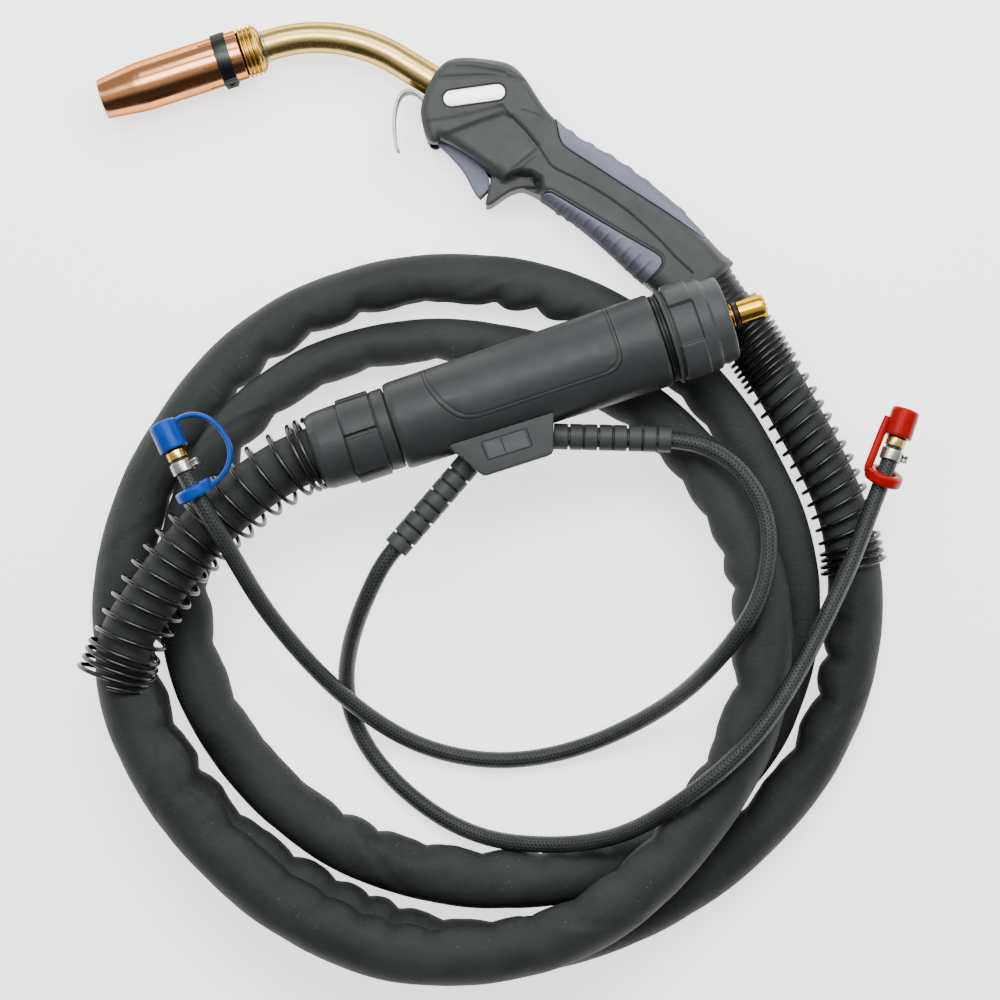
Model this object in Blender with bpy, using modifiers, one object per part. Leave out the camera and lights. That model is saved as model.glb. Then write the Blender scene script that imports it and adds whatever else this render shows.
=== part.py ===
"""Water-cooled MIG welding torch, lying flat with its hose package coiled.

Frame: +X runs along the handle towards its hose end, +Z is up, and the table is z = 0.
The origin is the bottom centre of the box around the handle, swan neck and nozzle.
Lengths in this file are millimetres; the helpers turn them into Blender's metres.
"""

import math

import bmesh
import bpy
from mathutils import Matrix, Vector

MM = 0.001
GAP = 0.3                      # clearance between pieces that touch
FRAME_SHIFT = Vector((2.95, -3.58, 0.0))

# Handle: a moulded pistol grip, split into halves at its middle plane.
HANDLE_MID = 19.0
HANDLE_HALF = 19.0
WALL = 2.8

# Front end: nozzle, contact tip and seat on one straight axis.
TIP_AT = Vector((-164.6, 37.8, HANDLE_MID))
NOZZLE_ANGLE = math.radians(18.0)
NOZZLE_AXIS = Vector((math.cos(NOZZLE_ANGLE), math.sin(NOZZLE_ANGLE), 0.0))
NOZZLE_LENGTH = 76.0
NOZZLE_RADIUS = 12.9
NOZZLE_TIP_RADIUS = 10.0
SEAT_END = 87.5
NECK_START = 89.1
NECK_RADIUS = 8.0
NECK_BEND_RADIUS = 80.0
NECK_END_ANGLE = math.radians(-31.5)

# Gun plug at the machine end, turned about one horizontal axis.
PLUG_AT = Vector((-50.0, -145.5, 62.0))
PLUG_ANGLE = math.radians(18.2)
PLUG_AXIS = Vector((math.cos(PLUG_ANGLE), math.sin(PLUG_ANGLE), 0.0))
COLLAR_END = 39.4
BODY_START = 40.6
BODY_END = 180.3
NUT_START = 184.0
NUT_END = 215.6
FACE_AT = 209.0
PIN_END = 236.0
PIN_RADIUS = 6.2

# Main hose: x, y, z and radius along its middle line, handle to plug.
HOSE_ROUTE = [
    (137.4, -46.3, 19, 12.8), (150.4, -59.8, 19, 12.8), (162.8, -75.3, 19, 12.8),
    (177.3, -96.5, 18.5, 12.8), (195.1, -126, 17.5, 12.8), (214.8, -162.3, 17, 12.8),
    (222.6, -187.7, 17, 13), (226.4, -217.3, 15.8, 14.3), (224.9, -242.2, 15.5, 14.3),
    (219.7, -268.1, 15.5, 13.8), (211.9, -289.4, 15.5, 13.5), (199.4, -312.2, 15.5, 13.3),
    (180.2, -335.6, 15.5, 13.3), (149.1, -364.7, 15.5, 13.3), (111.2, -385.9, 15.5, 14),
    (69.7, -399.4, 15.5, 14.6), (24.5, -404.1, 15.5, 15), (-11.8, -396.8, 15.5, 15),
    (-48.6, -379.7, 15.5, 15), (-81.3, -360.5, 15.5, 15), (-112.5, -334, 15.5, 15),
    (-131.1, -308.6, 15.5, 15), (-145.2, -280.6, 15.5, 15), (-155, -247.4, 15.5, 15),
    (-156.1, -221.4, 15.5, 15), (-152.4, -192.9, 15.5, 14.5), (-143.1, -162.8, 15.5, 14),
    (-123.4, -128.5, 15.5, 13.5), (-99, -96.9, 15.5, 13.2), (-70.9, -76.1, 15.5, 13),
    (-37.2, -61.6, 15.5, 12.6), (-9.7, -55.3, 15.5, 12.6), (15.2, -53.8, 15.5, 12.8),
    (41.2, -55.3, 15.5, 12.8), (67.1, -60.5, 15.5, 12.6), (93, -70.4, 15.5, 12.5),
    (119, -85.4, 15.5, 12.5), (140.8, -104.1, 15.5, 12.5), (158.4, -123.8, 15.5, 12.5),
    (171.4, -145.6, 15.5, 12.6), (183.9, -169.5, 15.5, 13), (191.7, -195.5, 15.5, 13.3),
    (194.8, -221.4, 15.5, 13.3), (193.2, -244.8, 15.5, 13), (188.5, -268.1, 15.5, 12.3),
    (180.2, -288.9, 15.5, 11.8), (168.8, -306, 15.5, 11.8), (152.7, -322.6, 15.5, 11.8),
    (130.4, -341.8, 15.5, 11.8), (99.3, -359.5, 15.5, 12.6), (66.1, -366.7, 15.5, 14.6),
    (30.8, -367.2, 15.5, 15.2), (-1.4, -362.1, 15.5, 15), (-30.5, -352.7, 15.5, 14.8),
    (-58, -337.1, 15.5, 14.5), (-82.9, -314.8, 15.5, 14.2), (-100.5, -291.5, 15.5, 14),
    (-112.5, -270.7, 15.5, 14), (-120.8, -244.8, 15.5, 14), (-124.4, -216.2, 15.5, 13.8),
    (-121.5, -186.1, 18, 13), (-111.4, -156.1, 25, 12.2), (-94.9, -129.5, 30, 11.6),
    (-68.9, -107.3, 28, 11.2), (-39, -93.5, 21, 11.2), (-10.7, -87, 16, 11.2),
    (15.7, -86, 15.5, 11.3), (41.2, -89.1, 15.5, 11.6), (67.1, -96.4, 16.5, 12),
    (92.9, -107.5, 20, 12.6), (115.8, -122.1, 26, 13.2), (139.5, -143.9, 33, 13.8),
    (157.3, -169.5, 40, 14.2), (169.1, -194.9, 44, 14.5), (174, -220.2, 46, 14.7),
    (175.4, -245.5, 47, 14.7), (172.4, -270.8, 47.3, 14.7), (165.2, -294.6, 47.5, 14.7),
    (151.6, -318.9, 47.5, 14.7), (129.8, -348.3, 47.5, 14.8), (106, -372.1, 47.5, 15),
    (74.6, -391.4, 47.5, 15), (31, -401, 47.5, 15), (-8.5, -401, 47.5, 15),
    (-34.8, -392.4, 47.5, 15), (-60.2, -380.2, 47.5, 15), (-88.5, -360, 47.5, 15),
    (-114.3, -333.1, 47.8, 15), (-133.5, -304.7, 48.5, 14.8), (-144.9, -279.2, 50, 14.4),
    (-150.2, -256.4, 51.6, 13.8), (-148.6, -238.6, 52.6, 13.7), (-138.9, -225, 53.4, 13.7),
    (-127.2, -208.8, 54, 13.7), (-115, -191.7, 54.8, 13.7), (-98.7, -175.6, 56, 13.7),
    (-80.4, -160.5, 58.5, 13.7), (-64.1, -151, 61, 13.6), (-52.8, -146.4, 62, 13.5),
    (-40.5, -142.4, 62, 13.5), (-27.2, -138, 62, 13.5),
]
HOSE_POINTS = 80
HANDLE_BOOT = (34.0, 184.0)    # distances along the hose where its spring starts and ends
PLUG_BOOT = (28.5, 194.0)      # the same, counted back from the plug end

# Water hoses: x, y and z along their middle lines, plug end to free end.
WATER_RADIUS = 4.35
RELIEF_RADIUS = 6.6
BLUE_START = Vector((67.9, -137.6, 60.0))
BLUE_DIRECTION = Vector((1.0, -0.025, 0.0))
BLUE_RELIEF = 59.0
RED_START = Vector((25.3, -151.2, 60.0))
RED_DIRECTION = Vector((-0.652, -0.758, 0.0))
RED_RELIEF = 56.0
BLUE_ROUTE = [
    (71.9, -137.7, 60), (89.9, -138.1, 60), (107.9, -138.6, 60), (122.9, -139, 60),
    (136.5, -140.2, 60), (151.5, -145.4, 60.3), (164.9, -157.5, 61.5), (173.7, -173.5, 63.5),
    (176.5, -192, 65.8), (172.8, -214.4, 67.4), (163.3, -232.9, 67.5), (149.9, -251.6, 55),
    (134.9, -269.4, 33), (113.9, -284.9, 14), (88.2, -297.6, 6), (64.7, -304, 4.8),
    (41.2, -306.6, 4.8), (15, -303.4, 4.8), (-8.5, -294.9, 7), (-30.5, -279.5, 15.5),
    (-49, -262.2, 26), (-67.4, -239.8, 40), (-80.8, -219.9, 54), (-90, -200.9, 68),
    (-97.2, -186.8, 79), (-106.2, -171, 82.5), (-113.1, -158.7, 82.5), (-117.2, -149.8, 81.5),
]
RED_ROUTE = [
    (22.7, -154.2, 60), (12.3, -166.4, 60), (0.5, -180, 60), (-9.9, -192.1, 60),
    (-17.1, -200.5, 60), (-23.8, -213.3, 55.5), (-32.1, -231.6, 42), (-37.9, -251.1, 22),
    (-39.8, -270.8, 7.5), (-32.1, -294, 4.8), (-19, -311.8, 4.8), (-3.3, -326.5, 4.8),
    (15, -338.9, 5.5), (35.9, -346.7, 10), (56.6, -347.4, 22.5), (79.7, -346.8, 29),
    (101.2, -340.9, 42), (117.7, -331.2, 54.5), (133.1, -319.5, 64.5), (149.8, -306.1, 68.3),
    (166.7, -290.1, 68.6), (180.9, -271.8, 66.5), (195.9, -247.4, 58), (209, -222.6, 50),
    (219.9, -201, 44), (227.2, -182.2, 41), (233.6, -166, 39.5), (238.2, -154, 38.5), (242.1, -142.6, 38),
]
NIPPLE_LENGTH = 16.0
CAP_LENGTH = 15.0
CAP_RADIUS = 7.3


# Handle outlines, seen from above, and the fat tube that rounds its long edges.
SHELL_OUTLINE = [
    (-0.3, 29.2), (2.0, 39.1), (6.0, 47.9), (10.1, 54.1), (15.3, 58.7), (28.0, 59.3), (41.1, 58.2),
    (47.4, 55.6), (53.6, 50.0), (59.3, 40.6), (63.4, 33.9), (68.1, 28.2), (77.4, 18.9), (87.7, 12.7),
    (100.2, 6.0), (109.5, -0.3), (119.3, -7.0), (129.1, -14.8), (137.4, -23.0), (147.3, -33.9),
    (156.1, -43.7), (161.8, -46.8), (137.4, -70.7), (128.1, -67.5), (118.3, -60.3), (103.3, -46.3),
    (92.9, -36.5), (80.0, -25.6), (67.0, -16.8), (56.7, -10.1), (45.0, -7.4), (37.5, -7.0),
    (36.0, -2.3), (30.3, 3.4), (20.4, 10.6), (10.5, 15.5), (9.1, 12.7), (4.4, 13.7), (2.3, 19.4),
]
SPUR_OUTLINE = [
    (38.5, -4.0), (37.4, -7.5), (34.4, -13.8), (33.2, -17.6), (35.0, -18.9), (39.1, -16.3),
    (45.3, -11.6), (51.5, -9.1), (60.0, -9.5), (58.0, -4.0),
]
CAVITY_OUTLINE = [
    (17.5, 23.5), (16.2, 54.0), (38.0, 54.8), (44.3, 51.2), (49.4, 46.2), (54.8, 38.5), (60.5, 31.0),
    (67.0, 24.5), (78.0, 15.0), (98.0, 3.6), (117.0, -9.5), (127.0, -17.5), (135.0, -25.5),
    (145.0, -37.0), (151.0, -44.0), (137.5, -59.0), (130.0, -63.0), (120.0, -56.5), (105.0, -42.5),
    (94.5, -33.0), (81.5, -22.0), (68.5, -13.0), (57.0, -6.5), (43.0, -3.5), (40.0, 2.5),
    (33.0, 8.8), (24.0, 15.0),
]
ROUNDING_AXIS = [
    (-12.0, 37.0, 32.0), (15.0, 36.0, 29.0), (40.0, 28.0, 31.0), (60.0, 12.0, 28.0),
    (78.0, -1.0, 24.0), (98.1, -16.8, 23.0), (118.8, -33.9, 23.0), (136.9, -50.5, 22.5),
    (160.0, -72.0, 21.0),
]
BACK_PAD = [
    (70.7, 26.0), (90.0, 25.0), (155.0, -20.0), (152.0, -35.5), (147.2, -33.6),
    (132.0, -24.0), (118.8, -13.4), (92.9, 3.9), (75.0, 14.0), (71.0, 18.0),
]
FRONT_PAD = [
    (62.5, -13.2), (64.6, -11.2), (68.0, -11.6), (83.0, -21.3), (104.0, -34.2), (119.0, -41.6),
    (124.6, -45.2), (124.4, -49.0), (115.0, -57.5), (108.0, -68.0), (60.0, -35.0),
]

# Back screws of the handle, seen from below.
SCREW_PLACES = [(24.0, 50.0), (62.0, 12.0), (104.0, -20.0)]

# Trigger, switch and return spring.
TRIGGER_PIVOT = (9.1, 18.3)
TRIGGER_OUTLINE = [
    (10.4, 13.4), (18.4, 5.6), (23.6, -1.3), (26.6, -8.0), (29.2, -12.4), (31.2, -13.8), (35.5, -9.5),
    (35.9, -6.8), (35.4, -1.4), (28.7, 7.0), (19.4, 14.2), (14.0, 19.5), (10.5, 22.0), (6.6, 20.8),
    (6.0, 16.8),
]
TRIGGER_SLOT = [
    (9.6, 8.0), (18.0, 0.0), (30.0, -9.5), (37.6, -8.6), (38.0, -2.0), (40.5, 3.0), (34.0, 11.0),
    (24.0, 19.0), (16.0, 24.0), (8.0, 24.6), (3.9, 21.6), (5.2, 13.2),
]
PLUNGER_AXIS = Vector((0.766, 0.643, 0.0))
PLUNGER_FOOT = Vector((32.05, 2.8, HANDLE_MID))

# The badge on the handle, a plate with round ends.
BADGE_AT = (27.7, 39.4)
BADGE_ANGLE = math.radians(8.0)


# ---------------------------------------------------------------- helpers

def clear_scene():
    for obj in list(bpy.data.objects):
        bpy.data.objects.remove(obj, do_unlink=True)


def new_collection(name):
    collection = bpy.data.collections.new(name)
    bpy.context.scene.collection.children.link(collection)
    return collection


def principled(name, colour, roughness, metallic=0.0):
    material = bpy.data.materials.new(name)
    material.use_nodes = True
    shader = material.node_tree.nodes["Principled BSDF"]
    shader.inputs["Base Color"].default_value = (*colour, 1.0)
    shader.inputs["Roughness"].default_value = roughness
    shader.inputs["Metallic"].default_value = metallic
    return material


def add_object(name, data, collection=None):
    obj = bpy.data.objects.new(name, data)
    (collection or CUTTERS).objects.link(obj)
    if collection is None:
        obj.hide_render = True
        obj.display_type = "WIRE"
    return obj


def finish_part(obj, material):
    """Moves a made object from the cutters to the parts and gives it its material."""
    CUTTERS.objects.unlink(obj)
    PARTS.objects.link(obj)
    obj.hide_render = False
    obj.display_type = "TEXTURED"
    obj.data.materials.clear()
    obj.data.materials.append(material)
    if obj.type == "MESH":
        obj.data.shade_smooth()
        obj.data.set_sharp_from_angle(angle=math.radians(35.0))
    return obj


def as_mesh(obj):
    """The curve as a welded mesh object of the same name and place."""
    bpy.context.view_layer.update()
    graph = bpy.context.evaluated_depsgraph_get()
    mesh = bpy.data.meshes.new_from_object(obj.evaluated_get(graph))
    work = bmesh.new()
    work.from_mesh(mesh)
    bmesh.ops.remove_doubles(work, verts=work.verts, dist=0.00001)
    bmesh.ops.recalc_face_normals(work, faces=work.faces)
    work.to_mesh(mesh)
    work.free()
    name = obj.name
    matrix = obj.matrix_world.copy()
    bpy.data.objects.remove(obj, do_unlink=True)
    made = add_object(name, mesh)
    made.matrix_world = matrix
    return made


def bake(obj):
    """The object with its modifiers applied."""
    bpy.context.view_layer.update()
    graph = bpy.context.evaluated_depsgraph_get()
    mesh = bpy.data.meshes.new_from_object(obj.evaluated_get(graph))
    name = obj.name
    matrix = obj.matrix_world.copy()
    bpy.data.objects.remove(obj, do_unlink=True)
    made = add_object(name, mesh)
    made.matrix_world = matrix
    return made


def boolean(target, tool, operation="DIFFERENCE"):
    modifier = target.modifiers.new(operation.title(), "BOOLEAN")
    modifier.operation = operation
    modifier.object = tool
    modifier.solver = "EXACT"
    return target


def aim(obj, at, axis, turn=0.0):
    """Puts the object's origin at a point, with its local Z along an axis."""
    axis = Vector(axis).normalized()
    if abs(axis.z) > 0.999:
        side = Vector((1.0, 0.0, 0.0))
    else:
        side = Vector((0.0, 0.0, 1.0)).cross(axis).normalized()
    up = axis.cross(side)
    basis = Matrix((side, up, axis)).transposed().to_4x4()
    place = Matrix.Translation(Vector(at) * MM)
    obj.matrix_world = place @ basis @ Matrix.Rotation(turn, 4, "Z")
    return obj


def turned(name, profile, at, axis, steps=24, closed=False, turn=0.0):
    """A turned piece: (radius, distance) pairs, outer side running down the axis."""
    mesh = bpy.data.meshes.new(name)
    rows = [(radius * MM, 0.0, along * MM) for radius, along in profile]
    edges = [(i, i + 1) for i in range(len(rows) - 1)]
    if closed:
        edges.append((len(rows) - 1, 0))
    mesh.from_pydata(rows, edges, [])
    obj = add_object(name, mesh)
    screw = obj.modifiers.new("Turn", "SCREW")
    screw.axis = "Z"
    screw.steps = steps
    screw.render_steps = steps
    screw.use_merge_vertices = True
    screw.merge_threshold = 0.00001
    screw.use_normal_calculate = False
    return aim(obj, at, axis, turn)


def ring(name, inner, outer, start, end, at, axis, steps=24, turn=0.0):
    profile = [(inner, end), (outer, end), (outer, start), (inner, start)]
    return turned(name, profile, at, axis, steps, closed=True, turn=turn)


def rod(name, radius, start, end, at, axis, steps=24):
    profile = [(0.0, end), (radius, end), (radius, start), (0.0, start)]
    return turned(name, profile, at, axis, steps)


def tube(name, points, radii, resolution=2):
    """A wire or hose: a POLY curve with a round section and filled ends."""
    curve = bpy.data.curves.new(name, "CURVE")
    curve.dimensions = "3D"
    curve.bevel_depth = MM
    curve.bevel_resolution = resolution
    curve.use_fill_caps = True
    spline = curve.splines.new("POLY")
    spline.points.add(len(points) - 1)
    for point, place, radius in zip(spline.points, points, radii):
        point.co = (*(Vector(place) * MM), 1.0)
        point.radius = radius
    return add_object(name, curve)


def slab(name, outline, low, high, rounding=0.0):
    """A flat piece: an outline in X and Y between two heights, with rounded rims."""
    curve = bpy.data.curves.new(name, "CURVE")
    curve.dimensions = "2D"
    curve.fill_mode = "BOTH"
    curve.extrude = (0.5 * (high - low) - rounding) * MM
    curve.bevel_depth = rounding * MM
    curve.bevel_resolution = 1
    curve.offset = -rounding * MM
    spline = curve.splines.new("POLY")
    spline.points.add(len(outline) - 1)
    for point, place in zip(spline.points, outline):
        point.co = (place[0] * MM, place[1] * MM, 0.0, 1.0)
    spline.use_cyclic_u = True
    obj = add_object(name, curve)
    obj.location.z = 0.5 * (low + high) * MM
    return as_mesh(obj)


def block(name, size, at, angle=0.0, rounding=0.0):
    """A box turned about Z, with bevelled edges where a rounding is given."""
    mesh = bpy.data.meshes.new(name)
    work = bmesh.new()
    bmesh.ops.create_cube(work, size=1.0)
    bmesh.ops.scale(work, verts=work.verts, vec=Vector(size) * MM)
    work.to_mesh(mesh)
    work.free()
    obj = add_object(name, mesh)
    obj.matrix_world = Matrix.Translation(Vector(at) * MM) @ Matrix.Rotation(angle, 4, "Z")
    if rounding:
        bevel = obj.modifiers.new("Rounding", "BEVEL")
        bevel.width = rounding * MM
        bevel.segments = 2
    return obj


def smooth_curve(route, count):
    """Points spread evenly along a cubic B-spline through the route; rows keep their length."""
    rows = [Vector(row) for row in route]
    rows = [2 * rows[0] - rows[1]] + rows + [2 * rows[-1] - rows[-2]]
    fine = []
    pieces = 12
    for i in range(1, len(rows) - 2):
        for j in range(pieces):
            t = j / pieces
            here = rows[i - 1] * (1 - t) ** 3
            here += rows[i] * (3 * t ** 3 - 6 * t ** 2 + 4)
            here += rows[i + 1] * (1 + 3 * t + 3 * t ** 2 - 3 * t ** 3)
            here += rows[i + 2] * t ** 3
            fine.append(here / 6)
    fine.append(rows[-2].copy())
    return resample(fine, count)


def travel(points):
    """Distance along the points, one value for each."""
    total = [0.0]
    for before, after in zip(points, points[1:]):
        total.append(total[-1] + (Vector(after[:3]) - Vector(before[:3])).length)
    return total


def sample(points, total, distance):
    """The row at one distance along the points."""
    distance = min(max(distance, 0.0), total[-1])
    for i in range(1, len(points)):
        if total[i] >= distance:
            span = max(total[i] - total[i - 1], 1e-9)
            return points[i - 1].lerp(points[i], (distance - total[i - 1]) / span)
    return points[-1].copy()


def resample(points, count):
    total = travel(points)
    return [sample(points, total, total[-1] * i / (count - 1)) for i in range(count)]


def coil(name, points, start, end, runs, wire, per_turn):
    """A wire spring around a curve: runs are (turns, share of length, first and last radius)."""
    total = travel(points)
    places = []
    turns_before = 0.0
    share_before = 0.0
    shares = sum(run[1] for run in runs)
    for turns, share, first, last in runs:
        steps = round(turns * per_turn)
        for i in range(steps):
            part = i / steps
            along = start + (end - start) * (share_before + share * part) / shares
            angle = 2 * math.pi * (turns_before + turns * part)
            places.append(around(points, total, along, angle, first + (last - first) * part))
        turns_before += turns
        share_before += share
    places.append(around(points, total, end, 2 * math.pi * turns_before, runs[-1][3]))
    return tube(name, places, [wire] * len(places), 1)


def around(points, total, along, angle, radius):
    """A point at an angle round the curve, measured from straight up."""
    here = Vector(sample(points, total, along)[:3])
    ahead = Vector(sample(points, total, along + 0.5)[:3])
    behind = Vector(sample(points, total, along - 0.5)[:3])
    tangent = (ahead - behind).normalized()
    side = tangent.cross(Vector((0.0, 0.0, 1.0))).normalized()
    up = side.cross(tangent)
    return here + radius * (math.cos(angle) * up + math.sin(angle) * side)


def on_line(at, axis, distance):
    return Vector(at) + Vector(axis) * distance


# ---------------------------------------------------------------- materials

clear_scene()
PARTS = new_collection("mig_welding_torch")
CUTTERS = new_collection("cutters")

COPPER = principled("copper_nozzle", (0.72, 0.42, 0.28), 0.25, 1.0)
COPPER_TIP = principled("copper_tip", (0.65, 0.33, 0.2), 0.35, 1.0)
BRASS = principled("machined_brass", (0.78, 0.58, 0.28), 0.25, 1.0)
GOLD = principled("gold_lacquer", (0.75, 0.58, 0.32), 0.35, 1.0)
STEEL = principled("bright_steel", (0.6, 0.6, 0.6), 0.3, 1.0)
DARK_STEEL = principled("dark_steel", (0.12, 0.12, 0.12), 0.4, 1.0)
SPRING_STEEL = principled("black_spring_wire", (0.03, 0.03, 0.03), 0.3, 0.6)
HANDLE_PLASTIC = principled("handle_plastic", (0.075, 0.085, 0.08), 0.5)
PLUG_PLASTIC = principled("plug_plastic", (0.1, 0.1, 0.1), 0.5)
GRIP_RUBBER = principled("grip_rubber", (0.28, 0.28, 0.36), 0.6)
HOSE_SHEATH = principled("hose_sheath", (0.06, 0.065, 0.065), 0.75)
BRAID = principled("braided_cover", (0.12, 0.12, 0.13), 0.6)
BLACK_PLASTIC = principled("black_plastic", (0.02, 0.02, 0.02), 0.4)
BLUE_RUBBER = principled("blue_rubber", (0.05, 0.25, 0.65), 0.4)
RED_RUBBER = principled("red_rubber", (0.7, 0.05, 0.05), 0.4)
PLATE = principled("silver_plate", (0.6, 0.6, 0.6), 0.4, 0.8)


# ---------------------------------------------------------------- front end

def nozzle():
    """Copper gas nozzle: a tapered cup with spring slits at its back end."""
    profile = [
        (11.4, NOZZLE_LENGTH), (NOZZLE_RADIUS, NOZZLE_LENGTH), (NOZZLE_RADIUS, 21.0),
        (12.4, 16.0), (NOZZLE_TIP_RADIUS + 0.4, 1.0), (NOZZLE_TIP_RADIUS, 0.0),
        (8.6, 0.0), (8.6, 8.0), (11.4, 22.0),
    ]
    body = turned("gas_nozzle", profile, TIP_AT, NOZZLE_AXIS, 28, closed=True)
    slits = []
    for i in range(3):
        slit = block("slit", (40.0, 1.2, 30.0), (0, 0, 0))
        middle = on_line(TIP_AT, NOZZLE_AXIS, NOZZLE_LENGTH - 9.0)
        aim(slit, middle, NOZZLE_AXIS, math.radians(20 + 60 * i))
        slits.append(slit)
    body = bake(body)
    for slit in slits:
        boolean(body, slit)
    finish_part(body, COPPER)


def clamp_band():
    """Spring band that squeezes the slit end of the nozzle, with its folded clip."""
    band = ring("nozzle_clamp_band", 13.25, 14.2, 63.0, 70.3, TIP_AT, NOZZLE_AXIS, 32)
    clip = block("clip", (5.0, 4.0, 5.4), (0, 0, 0), rounding=0.6)
    side = Vector((0.0, 0.0, 1.0)).cross(NOZZLE_AXIS)
    aim(clip, on_line(TIP_AT, NOZZLE_AXIS, 66.6) - side * 15.6, NOZZLE_AXIS, math.radians(91.5))
    finish_part(boolean(bake(band), clip, "UNION"), DARK_STEEL)


def contact_tip():
    profile = [
        (0.0, 26.0), (4.0, 26.0), (4.0, 9.0), (2.6, 2.0), (0.7, 2.0), (0.7, 20.0), (0.0, 20.0),
    ]
    finish_part(turned("contact_tip", profile, TIP_AT, NOZZLE_AXIS, 16), COPPER_TIP)


def gas_diffuser():
    profile = [
        (0.0, 49.7), (8.5, 49.7), (8.5, 44.0), (7.2, 42.0), (7.2, 30.0), (5.5, 26.3), (0.0, 26.3),
    ]
    body = turned("gas_diffuser", profile, TIP_AT, NOZZLE_AXIS, 16)
    body = bake(body)
    holes = []
    for i in range(3):
        angle = math.radians(30 + 60 * i)
        level = Vector((-NOZZLE_AXIS.y, NOZZLE_AXIS.x, 0.0))
        across = level * math.cos(angle) + Vector((0.0, 0.0, 1.0)) * math.sin(angle)
        middle = on_line(TIP_AT, NOZZLE_AXIS, 36.0 + 0.01 * i)
        holes.append(rod("gas_hole", 1.1, -10.0, 10.0, middle, across, 8))
    for hole in holes:
        boolean(body, hole)
    finish_part(body, BRASS)


def nozzle_seat():
    """Brass head: the plain journal inside the nozzle, then thread ridges and a collar."""
    profile = [(0.0, SEAT_END), (8.6, SEAT_END), (9.6, 86.0), (12.4, 83.0), (12.6, 81.6)]
    for i in range(3):
        crest = 81.0 - 1.5 * i
        profile += [(12.0, crest), (12.9, crest - 0.6)]
    profile += [(12.0, NOZZLE_LENGTH + 0.3), (11.0, NOZZLE_LENGTH + 0.3), (11.0, 50.0), (0.0, 50.0)]
    finish_part(turned("nozzle_seat", profile, TIP_AT, NOZZLE_AXIS, 20), BRASS)


def seat_washer():
    finish_part(rod("seat_washer", 8.9, SEAT_END + 0.3, NECK_START - 0.3, TIP_AT, NOZZLE_AXIS, 24), STEEL)


def neck_points(end_extra=0.0):
    """Middle line of the neck: a short straight, an arc, and a straight into the handle."""
    start = on_line(TIP_AT, NOZZLE_AXIS, NECK_START)
    bend = on_line(TIP_AT, NOZZLE_AXIS, NECK_START + 2.0)
    centre = bend + NECK_BEND_RADIUS * Vector((NOZZLE_AXIS.y, -NOZZLE_AXIS.x, 0.0))
    places = [start]
    steps = 14
    for i in range(steps + 1):
        heading = NOZZLE_ANGLE + (NECK_END_ANGLE - NOZZLE_ANGLE) * i / steps
        places.append(centre + NECK_BEND_RADIUS * Vector((-math.sin(heading), math.cos(heading), 0.0)))
    axis = Vector((math.cos(NECK_END_ANGLE), math.sin(NECK_END_ANGLE), 0.0))
    places.append(on_line(places[-1], axis, 50.0 + end_extra))
    return places, axis


def swan_neck():
    places, axis = neck_points()
    finish_part(tube("swan_neck", places, [NECK_RADIUS] * len(places), 4), GOLD)
    end = places[-1]
    sleeve = ring("neck_clamp_block", NECK_RADIUS + GAP, 10.4, -8.0, 2.0, end, axis, 20)
    finish_part(sleeve, BRASS)
    return end, axis


def hanging_hook():
    """Bent steel strip under the neck that hangs the torch up."""
    path = [(2.6, 36.2), (-1.5, 40.6), (-6.2, 42.2), (-10.2, 40.4), (-12.6, 35.0), (-13.6, 27.0),
            (-13.2, 18.0), (-11.4, 10.6)]
    half = 0.9
    left, right = [], []
    for i, here in enumerate(path):
        before = Vector(path[max(i - 1, 0)])
        after = Vector(path[min(i + 1, len(path) - 1)])
        normal = (after - before).normalized()
        normal = Vector((-normal.y, normal.x))
        left.append(tuple(Vector(here) + half * normal))
        right.append(tuple(Vector(here) - half * normal))
    strip = slab("torch_hook", left + right[::-1], HANDLE_MID - 6.0, HANDLE_MID + 6.0)
    return strip


# ---------------------------------------------------------------- handle

def rounding_body(name, margin):
    """A fat tube along the handle that trims its long edges round."""
    places = [(x, y, HANDLE_MID) for x, y, _ in ROUNDING_AXIS]
    radii = [radius - margin for _, _, radius in ROUNDING_AXIS]
    return as_mesh(tube(name, places, radii, 6))


def handle_solid(name, outline, margin):
    low = HANDLE_MID - HANDLE_HALF + margin
    high = HANDLE_MID + HANDLE_HALF - margin
    solid = slab(name, outline, low, high, 0.0)
    return bake(boolean(solid, rounding_body(name + "_rounding", margin), "INTERSECT"))


def inset(outline, distance):
    """A clockwise outline moved inwards."""
    moved = []
    count = len(outline)
    for i in range(count):
        before, here, after = (Vector(outline[(i + k) % count]) for k in (-1, 0, 1))
        first = (here - before).normalized()
        second = (after - here).normalized()
        normal = (Vector((first.y, -first.x)) + Vector((second.y, -second.x))).normalized()
        stretch = max(normal.dot(Vector((first.y, -first.x))), 0.5)
        moved.append(tuple(here + normal * distance / stretch))
    return moved


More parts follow.
